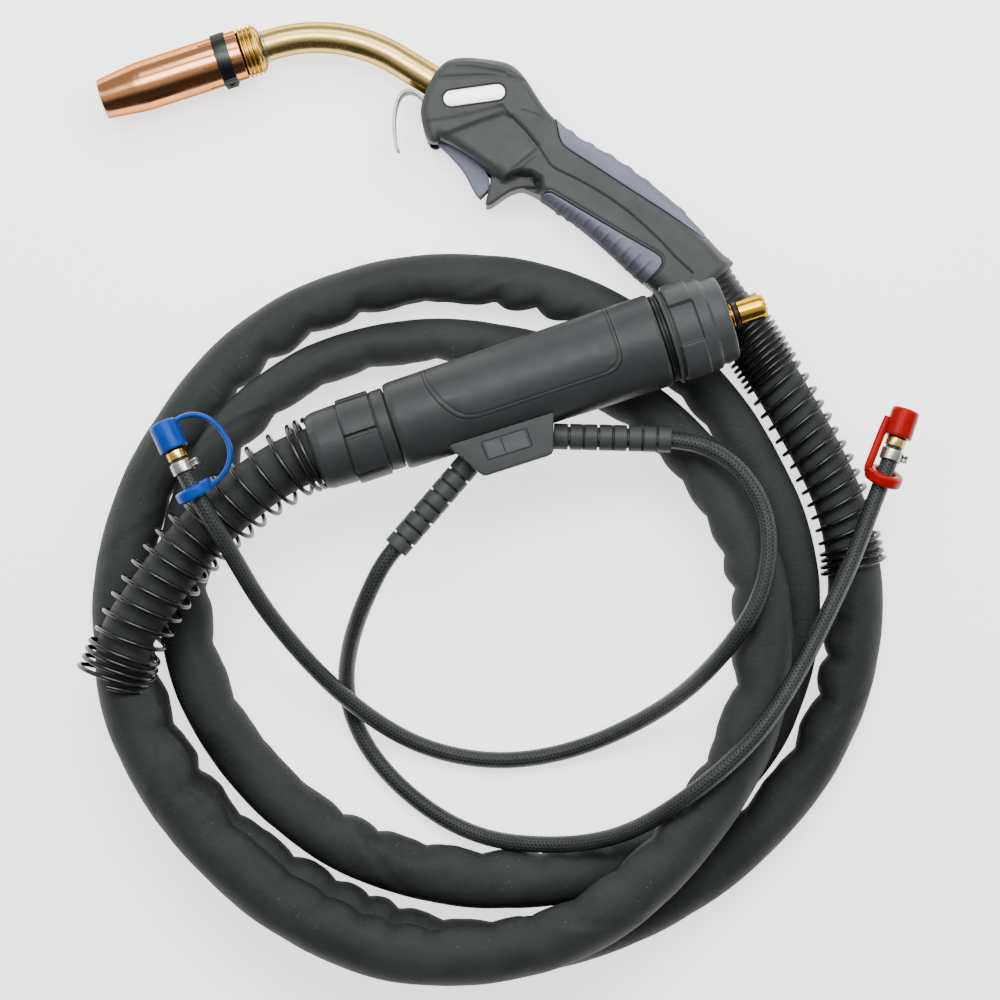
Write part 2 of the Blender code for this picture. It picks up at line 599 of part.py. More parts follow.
def handle(neck_end, neck_axis, hose):
    """Two shells around a cavity, with grip pads, badge, screws and the cables inside."""
    body = handle_solid("shell", SHELL_OUTLINE, 0.0)
    spur = slab("spur", SPUR_OUTLINE, HANDLE_MID - 9.0, HANDLE_MID + 9.0)
    body = bake(boolean(body, spur, "UNION"))
    core = handle_solid("core", inset(SHELL_OUTLINE, 2.2), 2.0)

    pads = []
    for name, outline in (("grip_pad_back", BACK_PAD), ("grip_pad_front", FRONT_PAD)):
        recess = bake(boolean(slab(name + "_recess", outline, -6.0, 46.0), core, "DIFFERENCE"))
        pad = bake(boolean(slab(name, inset(outline, GAP), -5.0, 45.0), bake_copy(body), "INTERSECT"))
        larger = handle_solid(name + "_floor", inset(SHELL_OUTLINE, 2.2 - GAP), 2.0 - GAP)
        boolean(pad, larger)
        pads.append(finish_part(bake(pad), GRIP_RUBBER))
        boolean(body, recess)
    ribs(pads[1])

    cavity = handle_solid("cavity", CAVITY_OUTLINE, WALL)
    boolean(body, cavity)
    neck_places, _ = neck_points(5.0)
    neck_bore = as_mesh(tube("neck_bore", neck_places, [NECK_RADIUS + GAP] * len(neck_places), 4))
    boolean(body, neck_bore)
    total = travel(hose)
    bore_places = [Vector(sample(hose, total, d)[:3]) for d in (0.0, 12.0, 20.0, 30.0, 44.0)]
    bore_places[0] += (bore_places[0] - bore_places[1]).normalized() * 4.0
    hose_bore = as_mesh(tube("hose_bore", bore_places, [13.6] * len(bore_places), 4))
    boolean(body, hose_bore)
    hook_slot = slab("hook_slot", [(-3.0, 34.2), (-3.0, 41.0), (1.0, 39.6), (4.4, 37.2), (3.2, 34.4)],
                     HANDLE_MID - 6.3, HANDLE_MID + 6.3)
    slot = slab("trigger_slot", TRIGGER_SLOT, HANDLE_MID - 8.3, HANDLE_MID + 8.3)
    boolean(body, slot)
    pin_bore = rod("pin_bore", 1.8, -11.5, 11.5, (*TRIGGER_PIVOT, HANDLE_MID), (0, 0, 1), 12)
    boolean(body, pin_bore)
    boolean(body, hook_slot)
    body = bake(body)

    badge_floor = HANDLE_MID + HANDLE_HALF - 0.9
    badge_seat = slab("badge_seat", stadium(BADGE_AT, 32.6, 9.0, BADGE_ANGLE), badge_floor, 60.0)
    for name, low, high in (("handle_shell_upper", HANDLE_MID + 0.15, 60.0),
                            ("handle_shell_lower", -20.0, HANDLE_MID - 0.15)):
        half = block(name + "_half", (300.0, 300.0, high - low), (70.0, 0.0, 0.5 * (low + high)))
        shell = bake(boolean(bake_copy(body, name), half, "INTERSECT"))
        if name.endswith("upper"):
            boolean(shell, badge_seat)
        else:
            for i, (x, y) in enumerate(SCREW_PLACES):
                boolean(shell, rod(f"screw_bore_{i + 1}", 3.0, -1.0, 2.6, (x, y, 0), (0, 0, 1), 12))
        finish_part(bake(shell), HANDLE_PLASTIC)
    bpy.data.objects.remove(body, do_unlink=True)
    badge = slab("badge_plate", stadium(BADGE_AT, 32.0, 8.4, BADGE_ANGLE),
                 badge_floor + GAP, HANDLE_MID + HANDLE_HALF + 0.2)
    finish_part(badge, PLATE)
    for i, (x, y) in enumerate(SCREW_PLACES):
        profile = [(0.0, 2.3), (2.7, 2.3), (2.7, 0.9), (2.2, 0.6), (0.0, 0.6)]
        screw = turned(f"handle_screw_{i + 1}", profile, (x, y, 0), (0, 0, 1), 12)
        finish_part(screw, STEEL)

    cable = [Vector(neck_end) + neck_axis * 2.6, Vector(neck_end) + neck_axis * 14.0,
             Vector((62.0, 9.0, HANDLE_MID)), Vector((98.0, -16.8, HANDLE_MID)),
             Vector((120.0, -33.5, HANDLE_MID)), Vector(sample(hose, total, 0.0)[:3])]
    places = smooth_curve([tuple(place) for place in cable], 12)
    places[-1] = places[-1].lerp(places[-2], 0.3)
    finish_part(tube("handle_cable_bundle", places, [7.0] * len(places), 2), BLACK_PLASTIC)


def bake_copy(obj, name=None):
    made = add_object(name or obj.name + "_copy", obj.data.copy())
    made.matrix_world = obj.matrix_world.copy()
    for modifier in obj.modifiers:
        copy = made.modifiers.new(modifier.name, "BOOLEAN")
        copy.operation = modifier.operation
        copy.object = modifier.object
        copy.solver = "EXACT"
    return bake(made)


def ribs(pad):
    """Cross grooves along the outer edge of the front grip pad."""
    start, end = Vector((66.0, -22.5)), Vector((112.0, -58.0))
    count = 9
    for i in range(count):
        centre = start.lerp(end, (i + 0.5) / count)
        at = (centre.x, centre.y, HANDLE_MID)
        groove = block(f"rib_groove_{i + 1}", (1.1, 3.2, 60.0), at, math.radians(-38))
        boolean(pad, groove)


def stadium(centre, length, width, angle):
    """A plate outline with round ends."""
    points = []
    radius = 0.5 * width
    reach = 0.5 * length - radius
    for end, first in ((1, -90), (-1, 90)):
        for i in range(7):
            turn = math.radians(first + 30 * i)
            points.append((end * reach + radius * math.cos(turn), radius * math.sin(turn)))
    cosine, sine = math.cos(angle), math.sin(angle)
    return [(centre[0] + x * cosine - y * sine, centre[1] + x * sine + y * cosine) for x, y in points]


def origin_to(obj, at):
    """Moves the object's origin to a point and leaves its shape where it is."""
    shift = Matrix.Translation(Vector(at) * MM)
    obj.data.transform(shift.inverted() @ obj.matrix_world)
    obj.matrix_world = shift
    return obj


def trigger_group():
    """Lever on a cross pin, its return spring, and the switch that it presses."""
    pivot = (*TRIGGER_PIVOT, HANDLE_MID)
    lever = slab("trigger", TRIGGER_OUTLINE, HANDLE_MID - 6.0, HANDLE_MID + 6.0, 0.0)
    boolean(lever, rod("trigger_bore", 1.8, -10.0, 10.0, pivot, (0, 0, 1), 12))
    finish_part(origin_to(bake(lever), pivot), GRIP_RUBBER)
    finish_part(rod("trigger_pin", 1.5, -11.2, 11.2, pivot, (0, 0, 1), 12), STEEL)
    places = []
    for i in range(3 * 10 + 1):
        angle = 2 * math.pi * i / 10
        places.append((pivot[0] + 2.6 * math.cos(angle), pivot[1] + 2.6 * math.sin(angle),
                       HANDLE_MID + 6.7 + 1.0 * i / 30))
    places = [(14.6, 15.4, HANDLE_MID + 6.7)] + places
    finish_part(tube("trigger_spring", places, [0.14] * len(places), 1), STEEL)
    foot = PLUNGER_FOOT
    switch_face = foot + PLUNGER_AXIS * 3.2
    body = block("micro_switch", (7.0, 11.0, 6.4), switch_face + PLUNGER_AXIS * 3.5,
                 math.atan2(PLUNGER_AXIS.y, PLUNGER_AXIS.x), 0.4)
    body = bake(body)
    boolean(body, rod("plunger_bore", 1.7, 1.0, 7.4, foot, PLUNGER_AXIS, 12))
    finish_part(bake(body), BLACK_PLASTIC)
    finish_part(rod("switch_plunger", 1.3, 0.4, 5.4, foot, PLUNGER_AXIS, 12), GRIP_RUBBER)


# ---------------------------------------------------------------- hoses and springs

def main_hose():
    """The hose package, its cable sleeve and both boot springs; points lie closer under these."""
    hose = smooth_curve(HOSE_ROUTE, 600)
    total = travel(hose)
    length = total[-1]
    near = 14
    first_end = 180.0
    last_start = length - 195.0
    first = [first_end * i / near for i in range(near)]
    last = [last_start + (length - last_start) * i / near for i in range(near + 1)]
    middle_count = HOSE_POINTS - len(first) - len(last)
    middle = [first_end + (last_start - first_end) * i / middle_count for i in range(middle_count)]
    rows = [sample(hose, total, distance) for distance in first + middle + last]
    finish_part(tube("main_hose", [row[:3] for row in rows], [row[3] for row in rows], 3), HOSE_SHEATH)

    sleeve_at = Vector(sample(hose, total, 15.0)[:3])
    sleeve_axis = Vector(sample(hose, total, 21.0)[:3]) - Vector(sample(hose, total, 9.0)[:3])
    profile = [(13.5, 17.4), (14.4, 17.4), (15.2, 9.0), (15.2, 7.0), (13.5, 7.0)]
    sleeve = turned("handle_cable_sleeve", profile, sleeve_at, sleeve_axis, 20, closed=True)
    finish_part(sleeve, BLACK_PLASTIC)

    handle_spring = coil("handle_boot_spring", hose, *HANDLE_BOOT,
                         [(8, 36, 15.6, 15.6), (13, 100, 15.6, 15.6), (3, 10, 15.8, 16.4)], 1.0, 8)
    finish_part(handle_spring, SPRING_STEEL)
    plug_spring = coil("plug_boot_spring", hose, length - PLUG_BOOT[1], length - PLUG_BOOT[0],
                       [(3, 14, 19.2, 18.2), (12, 130, 17.0, 17.0), (3, 16, 17.0, 17.0)], 1.2, 8)
    finish_part(plug_spring, SPRING_STEEL)
    return hose


def water_hose(name, route, at, axis, relief, colour):
    """A braided hose with its strain relief, nipple, ear clamp and tethered cap."""
    line = smooth_curve(route, 34)
    finish_part(tube(f"water_hose_{name}", line, [WATER_RADIUS] * len(line), 2), BRAID)
    profile = [(WATER_RADIUS + GAP + 0.15, relief), (RELIEF_RADIUS - 0.6, relief)]
    segments = 8
    pitch = relief / segments
    for i in range(segments):
        high = relief - i * pitch
        profile += [(RELIEF_RADIUS, high - 0.6), (RELIEF_RADIUS, high - pitch + 1.3)]
        if i < segments - 1:
            profile += [(5.5, high - pitch + 1.0), (5.5, high - pitch + 0.3)]
    profile += [(RELIEF_RADIUS, 0.4), (WATER_RADIUS + GAP + 0.15, 0.4)]
    finish_part(turned(f"strain_relief_{name}", profile, at, axis, 10, closed=True), PLUG_PLASTIC)

    end = Vector(line[-1][:3])
    out = (end - Vector(line[-2][:3])).normalized()
    nipple = [(0.0, 4.0), (2.0, 4.0), (2.0, NIPPLE_LENGTH), (3.6, NIPPLE_LENGTH),
              (4.5, NIPPLE_LENGTH - 1.0), (4.5, 4.4), (5.0, 4.0), (5.0, 0.3), (0.0, 0.3)]
    finish_part(turned(f"nipple_{name}", nipple, end, out, 12), BRASS)
    clamp = ring(f"hose_clamp_{name}", WATER_RADIUS + 0.35, 5.7, -7.2, -1.2, end, out, 16)
    side = out.cross(Vector((0.0, 0.0, 1.0))).normalized()
    ear = block(f"ear_{name}", (3.2, 3.6, 3.6), (0, 0, 0))
    aim(ear, end - out * 4.2 + side * 6.4, out, 0.0)
    finish_part(boolean(bake(clamp), ear, "UNION"), STEEL)
    low = 5.4
    high = low + CAP_LENGTH
    cup = [(0.0, high), (CAP_RADIUS - 1.2, high), (CAP_RADIUS, high - 1.2),
           (CAP_RADIUS, low), (4.9, low), (4.9, NIPPLE_LENGTH + 0.6), (0.0, NIPPLE_LENGTH + 0.6)]
    finish_part(turned(f"cap_{name}", cup, end, out, 16), colour)
    return line, end, out, side


def strap(name, line, end, out, side, bulge, ring_back, colour):
    """Soft tether: a thick ring on the hose, and an arc that runs from it to the cap's skirt."""
    total = travel(line)
    here = Vector(sample(line, total, total[-1] - ring_back)[:3])
    ahead = Vector(sample(line, total, total[-1] - ring_back + 6.0)[:3])
    band = ring(f"cap_strap_{name}", 5.0, 9.8, -3.2, 3.2, here, ahead - here, 16)
    route = [
        end + out * 16.0 + side * 9.3, end + out * 14.0 + side * (9.3 + 0.5 * bulge),
        end + out * 4.0 + side * (9.0 + bulge), end - out * 8.0 + side * (9.0 + bulge),
        here - out * 1.0 + side * (7.0 + 0.6 * bulge), here + side * 7.0,
    ]
    loop = smooth_curve(route, 16)
    arc = as_mesh(tube(f"strap_arc_{name}", loop, [1.7] * len(loop), 2))
    finish_part(boolean(bake(band), arc, "UNION"), colour)


# ---------------------------------------------------------------- plug

def plug_point(along, right=0.0, up=0.0):
    """A point given along the plug's axis, to its left seen from behind, and up."""
    left = Vector((-PLUG_AXIS.y, PLUG_AXIS.x, 0.0))
    return PLUG_AT + PLUG_AXIS * along + left * right + Vector((0, 0, up))


def body_radius(along):
    share = (along - BODY_START) / (BODY_END - BODY_START)
    return 22.4 + 1.4 * share


def grip_pads(name, inner, outer, start, end, count, width, first):
    """Cutter that leaves raised pads: the ring around a part, less its pads."""
    hoop = ring(name, inner, outer + 4.0, start, end, PLUG_AT, PLUG_AXIS, 32)
    hoop = bake(hoop)
    for i in range(count):
        angle = math.radians(first + i * 360.0 / count)
        size = (2.2 * outer * math.sin(0.5 * width), 2.0 * outer, end - start + 2.0)
        pad = block(f"{name}_pad_{i + 1}", size, (0, 0, 0))
        reach = 1.2 * outer
        middle = plug_point(0.5 * (start + end), math.cos(angle) * reach, math.sin(angle) * reach)
        aim(pad, middle, PLUG_AXIS, angle + math.radians(90))
        boolean(hoop, pad)
    return bake(hoop)


def rear_collar():
    profile = [
        (15.0, COLLAR_END), (20.4, COLLAR_END), (20.4, 33.2), (21.9, 32.4), (21.9, 15.8), (20.2, 15.0),
        (19.9, 3.0), (18.4, -1.5), (15.0, -1.5),
    ]
    collar = bake(turned("rear_collar_nut", profile, PLUG_AT, PLUG_AXIS, 32, closed=True))
    boolean(collar, grip_pads("collar_grooves", 20.6, 21.9, 15.8, 32.4, 6, math.radians(54), -26.5))
    finish_part(bake(collar), PLUG_PLASTIC)


def plug_housing():
    """Two shells around a brass body, with a flush cover panel in the upper one."""
    profile = [
        (20.8, BODY_END), (body_radius(BODY_END) - 0.6, BODY_END), (body_radius(178.0), BODY_END - 1.0),
        (body_radius(44.0), 43.0), (21.4, BODY_START), (18.6, BODY_START), (18.6, 46.0), (20.0, 48.0),
    ]
    body = bake(turned("plug_body", profile, PLUG_AT, PLUG_AXIS, 30, closed=True))
    middle = 0.5 * (BODY_START + BODY_END)
    panel_outer = [(21.9, 158.5), (body_radius(158.5), 158.5), (body_radius(61.0), 61.0), (21.3, 61.0)]
    panel = bake(turned("plug_cover_panel", panel_outer, PLUG_AT, PLUG_AXIS, 30, closed=True))
    region = slab("panel_region", panel_outline(GAP), PLUG_AT.z + 1.0, PLUG_AT.z + 40.0)
    boolean(panel, region, "INTERSECT")
    pocket = bake(turned("pocket", [(21.6, 158.8), (30.0, 158.8), (30.0, 60.7), (21.0, 60.7)],
                         PLUG_AT, PLUG_AXIS, 30, closed=True))
    opening = slab("pocket_region", panel_outline(0.0), PLUG_AT.z + 0.7, PLUG_AT.z + 41.0)
    boolean(pocket, opening, "INTERSECT")
    pocket = bake(pocket)
    for name, low, high in (("plug_shell_upper", PLUG_AT.z + 0.15, PLUG_AT.z + 60.0),
                            ("plug_shell_lower", PLUG_AT.z - 60.0, PLUG_AT.z - 0.15)):
        centre = (*plug_point(middle)[:2], 0.5 * (low + high))
        half = block(name + "_half", (300.0, 200.0, high - low), centre, PLUG_ANGLE)
        shell = bake(boolean(bake_copy(body, name), half, "INTERSECT"))
        if name.endswith("upper"):
            boolean(shell, pocket)
        finish_part(bake(shell), PLUG_PLASTIC)
    finish_part(bake(panel), PLUG_PLASTIC)
    bpy.data.objects.remove(body, do_unlink=True)
    brass = [
        (0.0, 189.0), (9.0, 189.0), (9.0, 172.0), (17.8, 172.0), (17.8, 160.0), (9.0, 156.0), (9.0, 74.0),
        (11.0, 72.0), (11.0, 60.0), (0.0, 60.0),
    ]
    finish_part(turned("plug_brass_body", brass, PLUG_AT, PLUG_AXIS, 24), BRASS)


def panel_outline(margin):
    """The cover panel seen from above, with round inner corners, in the plug's own directions."""
    low, high = 60.7 + margin, 158.8 - margin
    edge = -9.6 + margin
    shape = [(low, 40.0), (high, 40.0), (high, edge + 7.0), (high - 2.0, edge + 2.0), (high - 7.0, edge),
             (low + 18.0, edge), (low + 10.0, edge + 2.5), (low + 3.0, edge + 12.0)]
    return [tuple(plug_point(along, left)[:2]) for along, left in shape[::-1]]


def plug_front():
    finish_part(ring("plug_seal_ring", 19.0, 22.4, BODY_END + 0.3, NUT_START - 0.3, PLUG_AT, PLUG_AXIS, 32),
                BLACK_PLASTIC)
    profile = [(19.4, NUT_END), (21.0, NUT_END), (21.5, NUT_END - 0.8), (21.9, 207.2), (23.2, 206.6),
               (23.6, 200.4), (25.4, 199.4), (25.4, NUT_START + 1.0), (24.4, NUT_START), (19.4, NUT_START)]
    nut = bake(turned("ring_nut", profile, PLUG_AT, PLUG_AXIS, 30, closed=True))
    boolean(nut, grip_pads("nut_grooves", 24.0, 25.4, 188.0, 199.5, 4, math.radians(48), -44.0))
    finish_part(bake(nut), PLUG_PLASTIC)

    core_profile = [(6.6, FACE_AT), (13.0, FACE_AT), (13.6, FACE_AT - 0.6), (13.6, 194.0), (18.6, 193.4),
                    (18.6, BODY_END - 4.0), (9.4, BODY_END - 4.0), (9.4, 190.0), (6.6, 190.0)]
    core = bake(turned("plug_insulator_core", core_profile, PLUG_AT, PLUG_AXIS, 28, closed=True))
    for i, side in enumerate((1.0, -1.0)):
        at = plug_point(0.0, side * 10.1, 0.0)
        boolean(core, rod(f"contact_bore_{i + 1}", 1.6, 200.0, 220.0, at, PLUG_AXIS, 12))
        finish_part(rod(f"contact_pin_{i + 1}", 1.25, 204.0, 212.4, at, PLUG_AXIS, 12), BRASS)
    finish_part(bake(core), BLACK_PLASTIC)
    pin = [(0.0, PIN_END), (3.6, PIN_END), (5.3, PIN_END - 0.9), (PIN_RADIUS, PIN_END - 2.8),
           (PIN_RADIUS, 221.6), (5.2, 221.2), (5.2, 218.8), (PIN_RADIUS, 218.4), (PIN_RADIUS, 189.4),
           (0.0, 189.4)]
    finish_part(turned("central_pin", pin, PLUG_AT, PLUG_AXIS, 24), BRASS)
    finish_part(ring("pin_seal", 5.5, 6.6, 219.2, 220.8, PLUG_AT, PLUG_AXIS, 24), BLACK_PLASTIC)


def water_block():
    """Outlet block on the side of the plug, saddled on its body, with a blank plate."""
    outline = [
        (16.3, -140.6), (16.3, -143.3), (31.0, -156.0), (34.2, -157.4), (65.4, -147.2), (67.6, -145.2),
        (65.2, -122.0), (17.5, -138.0),
    ]
    piece = slab("water_block", outline, 48.0, 76.6, 0.8)
    clearance = [(0.0, 190.0), (24.4, 190.0), (23.0, 40.0), (0.0, 40.0)]
    saddle = turned("saddle", clearance, PLUG_AT, PLUG_AXIS, 36)
    boolean(piece, saddle)
    plate = [(31.7, -141.0), (54.0, -134.1), (57.2, -142.8), (35.2, -149.8)]
    boolean(piece, slab("label_seat", plate, 76.0, 80.0))
    finish_part(bake(piece), PLUG_PLASTIC)
    finish_part(slab("label_plate", inset(plate, GAP), 76.3, 76.9), PLUG_PLASTIC)


# ---------------------------------------------------------------- assembly

HOSE = main_hose()
nozzle()
clamp_band()
contact_tip()
gas_diffuser()
nozzle_seat()
seat_washer()
NECK_END, NECK_AXIS = swan_neck()
finish_part(hanging_hook(), STEEL)
handle(NECK_END, NECK_AXIS, HOSE)
trigger_group()
rear_collar()
plug_housing()
plug_front()
water_block()
for colour_name, route, at, axis, relief, colour, turn, bulge, ring_back in (
        ("blue", BLUE_ROUTE, BLUE_START, BLUE_DIRECTION, BLUE_RELIEF, BLUE_RUBBER, 1.0, 12.0, 17.0),
        ("red", RED_ROUTE, RED_START, RED_DIRECTION, RED_RELIEF, RED_RUBBER, -1.0, 2.0, 16.0)):
    line, end, out, side = water_hose(colour_name, route, at, axis, relief, colour)
    strap(colour_name, line, end, out, side * turn, bulge, ring_back, colour)

# The layout above is drawn about the grip; the frame's origin is the middle of the torch's box.
for part in bpy.data.objects:
    part.matrix_world = Matrix.Translation(FRAME_SHIFT * MM) @ part.matrix_world
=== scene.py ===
"""Looks of a water-cooled MIG welding torch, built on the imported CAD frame.

Shapes are laid out in millimetres about the grip, as the CAD part is, and are moved into the
frame's metres as each mesh is made.
"""

import math

import bmesh
import bpy
import numpy as np
from mathutils import Matrix, Vector


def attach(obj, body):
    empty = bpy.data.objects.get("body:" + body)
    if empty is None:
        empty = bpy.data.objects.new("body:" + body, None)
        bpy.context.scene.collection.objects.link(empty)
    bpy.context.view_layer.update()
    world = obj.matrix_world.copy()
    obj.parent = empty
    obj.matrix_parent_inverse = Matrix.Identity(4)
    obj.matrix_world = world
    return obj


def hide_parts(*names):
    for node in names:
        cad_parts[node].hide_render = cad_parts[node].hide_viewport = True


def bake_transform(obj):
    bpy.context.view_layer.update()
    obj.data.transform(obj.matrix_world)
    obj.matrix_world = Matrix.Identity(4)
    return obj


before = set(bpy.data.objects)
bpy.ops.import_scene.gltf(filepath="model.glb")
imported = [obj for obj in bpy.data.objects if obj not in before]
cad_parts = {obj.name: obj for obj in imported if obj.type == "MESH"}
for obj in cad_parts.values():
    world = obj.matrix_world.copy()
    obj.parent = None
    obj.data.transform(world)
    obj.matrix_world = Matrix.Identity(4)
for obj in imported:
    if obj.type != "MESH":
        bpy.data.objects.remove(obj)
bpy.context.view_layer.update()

MM = 0.001
SHIFT = np.array((2.95, -3.58, 0.0))
UP = np.array((0.0, 0.0, 1.0))

# ---------------------------------------------------------------- layout

HANDLE_MID = 19.0
TIP_AT = np.array((-164.6, 37.8, HANDLE_MID))
NOZZLE_ANGLE = math.radians(18.0)
NOZZLE_AXIS = np.array((math.cos(NOZZLE_ANGLE), math.sin(NOZZLE_ANGLE), 0.0))
NECK_START = 89.1
NECK_BEND_RADIUS = 80.0
NECK_END_ANGLE = math.radians(-31.5)
PLUG_AT = np.array((-50.0, -145.5, 62.0))
PLUG_ANGLE = math.radians(18.2)
PLUG_AXIS = np.array((math.cos(PLUG_ANGLE), math.sin(PLUG_ANGLE), 0.0))

# Main hose: x, y, z and radius along its middle line, handle to plug.
HOSE_ROUTE = [
    (137.4, -46.3, 19, 12.8), (150.4, -59.8, 19, 12.8), (162.8, -75.3, 19, 12.8),
    (177.3, -96.5, 18.5, 12.8), (195.1, -126, 17.5, 12.8), (214.8, -162.3, 17, 12.8),
    (222.6, -187.7, 17, 13), (226.4, -217.3, 15.8, 14.3), (224.9, -242.2, 15.5, 14.3),
    (219.7, -268.1, 15.5, 13.8), (211.9, -289.4, 15.5, 13.5), (199.4, -312.2, 15.5, 13.3),
    (180.2, -335.6, 15.5, 13.3), (149.1, -364.7, 15.5, 13.3), (111.2, -385.9, 15.5, 14),
    (69.7, -399.4, 15.5, 14.6), (24.5, -404.1, 15.5, 15), (-11.8, -396.8, 15.5, 15),
    (-48.6, -379.7, 15.5, 15), (-81.3, -360.5, 15.5, 15), (-112.5, -334, 15.5, 15),
    (-131.1, -308.6, 15.5, 15), (-145.2, -280.6, 15.5, 15), (-155, -247.4, 15.5, 15),
    (-156.1, -221.4, 15.5, 15), (-152.4, -192.9, 15.5, 14.5), (-143.1, -162.8, 15.5, 14),
    (-123.4, -128.5, 15.5, 13.5), (-99, -96.9, 15.5, 13.2), (-70.9, -76.1, 15.5, 13),
    (-37.2, -61.6, 15.5, 12.6), (-9.7, -55.3, 15.5, 12.6), (15.2, -53.8, 15.5, 12.8),
    (41.2, -55.3, 15.5, 12.8), (67.1, -60.5, 15.5, 12.6), (93, -70.4, 15.5, 12.5),
    (119, -85.4, 15.5, 12.5), (140.8, -104.1, 15.5, 12.5), (158.4, -123.8, 15.5, 12.5),
    (171.4, -145.6, 15.5, 12.6), (183.9, -169.5, 15.5, 13), (191.7, -195.5, 15.5, 13.3),
    (194.8, -221.4, 15.5, 13.3), (193.2, -244.8, 15.5, 13), (188.5, -268.1, 15.5, 12.3),
    (180.2, -288.9, 15.5, 11.8), (168.8, -306, 15.5, 11.8), (152.7, -322.6, 15.5, 11.8),
    (130.4, -341.8, 15.5, 11.8), (99.3, -359.5, 15.5, 12.6), (66.1, -366.7, 15.5, 14.6),
    (30.8, -367.2, 15.5, 15.2), (-1.4, -362.1, 15.5, 15), (-30.5, -352.7, 15.5, 14.8),
    (-58, -337.1, 15.5, 14.5), (-82.9, -314.8, 15.5, 14.2), (-100.5, -291.5, 15.5, 14),
    (-112.5, -270.7, 15.5, 14), (-120.8, -244.8, 15.5, 14), (-124.4, -216.2, 15.5, 13.8),
    (-121.5, -186.1, 18, 13), (-111.4, -156.1, 25, 12.2), (-94.9, -129.5, 30, 11.6),
    (-68.9, -107.3, 28, 11.2), (-39, -93.5, 21, 11.2), (-10.7, -87, 16, 11.2),
    (15.7, -86, 15.5, 11.3), (41.2, -89.1, 15.5, 11.6), (67.1, -96.4, 16.5, 12),
    (92.9, -107.5, 20, 12.6), (115.8, -122.1, 26, 13.2), (139.5, -143.9, 33, 13.8),
    (157.3, -169.5, 40, 14.2), (169.1, -194.9, 44, 14.5), (174, -220.2, 46, 14.7),
    (175.4, -245.5, 47, 14.7), (172.4, -270.8, 47.3, 14.7), (165.2, -294.6, 47.5, 14.7),
    (151.6, -318.9, 47.5, 14.7), (129.8, -348.3, 47.5, 14.8), (106, -372.1, 47.5, 15),
    (74.6, -391.4, 47.5, 15), (31, -401, 47.5, 15), (-8.5, -401, 47.5, 15),
    (-34.8, -392.4, 47.5, 15), (-60.2, -380.2, 47.5, 15), (-88.5, -360, 47.5, 15),
    (-114.3, -333.1, 47.8, 15), (-133.5, -304.7, 48.5, 14.8), (-144.9, -279.2, 50, 14.4),
    (-150.2, -256.4, 51.6, 13.8), (-148.6, -238.6, 52.6, 13.7), (-138.9, -225, 53.4, 13.7),
    (-127.2, -208.8, 54, 13.7), (-115, -191.7, 54.8, 13.7), (-98.7, -175.6, 56, 13.7),
    (-80.4, -160.5, 58.5, 13.7), (-64.1, -151, 61, 13.6), (-52.8, -146.4, 62, 13.5),
    (-40.5, -142.4, 62, 13.5), (-27.2, -138, 62, 13.5),
]
HANDLE_BOOT = (34.0, 184.0)
PLUG_BOOT = (28.5, 194.0)

# Water hoses: x, y and z along their middle lines, plug end to free end.
WATER_RADIUS = 4.35
BLUE_START = np.array((67.9, -137.6, 60.0))
BLUE_DIRECTION = np.array((1.0, -0.025, 0.0))
BLUE_RELIEF = 59.0
RED_START = np.array((25.3, -151.2, 60.0))
RED_DIRECTION = np.array((-0.652, -0.758, 0.0))
RED_RELIEF = 56.0
BLUE_ROUTE = [
    (71.9, -137.7, 60), (89.9, -138.1, 60), (107.9, -138.6, 60), (122.9, -139, 60),
    (136.5, -140.2, 60), (151.5, -145.4, 60.3), (164.9, -157.5, 61.5), (173.7, -173.5, 63.5),
    (176.5, -192, 65.8), (172.8, -214.4, 67.4), (163.3, -232.9, 67.5), (149.9, -251.6, 55),
    (134.9, -269.4, 33), (113.9, -284.9, 14), (88.2, -297.6, 6), (64.7, -304, 4.8),
    (41.2, -306.6, 4.8), (15, -303.4, 4.8), (-8.5, -294.9, 7), (-30.5, -279.5, 15.5),
    (-49, -262.2, 26), (-67.4, -239.8, 40), (-80.8, -219.9, 54), (-90, -200.9, 68),
    (-97.2, -186.8, 79), (-106.2, -171, 82.5), (-113.1, -158.7, 82.5), (-117.2, -149.8, 81.5),
]
RED_ROUTE = [
    (22.7, -154.2, 60), (12.3, -166.4, 60), (0.5, -180, 60), (-9.9, -192.1, 60),
    (-17.1, -200.5, 60), (-23.8, -213.3, 55.5), (-32.1, -231.6, 42), (-37.9, -251.1, 22),
    (-39.8, -270.8, 7.5), (-32.1, -294, 4.8), (-19, -311.8, 4.8), (-3.3, -326.5, 4.8),
    (15, -338.9, 5.5), (35.9, -346.7, 10), (56.6, -347.4, 22.5), (79.7, -346.8, 29),
    (101.2, -340.9, 42), (117.7, -331.2, 54.5), (133.1, -319.5, 64.5), (149.8, -306.1, 68.3),
    (166.7, -290.1, 68.6), (180.9, -271.8, 66.5), (195.9, -247.4, 58), (209, -222.6, 50),
    (219.9, -201, 44), (227.2, -182.2, 41), (233.6, -166, 39.5), (238.2, -154, 38.5), (242.1, -142.6, 38),
]


# ---------------------------------------------------------------- curves

def unit(vector):
    vector = np.asarray(vector, float)
    return vector / np.linalg.norm(vector, axis=-1, keepdims=True)


def travel(points):
    """Distance along the points, one value for each."""
    steps = np.linalg.norm(np.diff(points[:, :3], axis=0), axis=1)
    return np.concatenate(([0.0], np.cumsum(steps)))


def at_distance(points, distances):
    """Rows of the points at the given distances along them."""
    total = travel(points)
    columns = [np.interp(distances, total, points[:, k]) for k in range(points.shape[1])]
    return np.stack(columns, axis=-1)


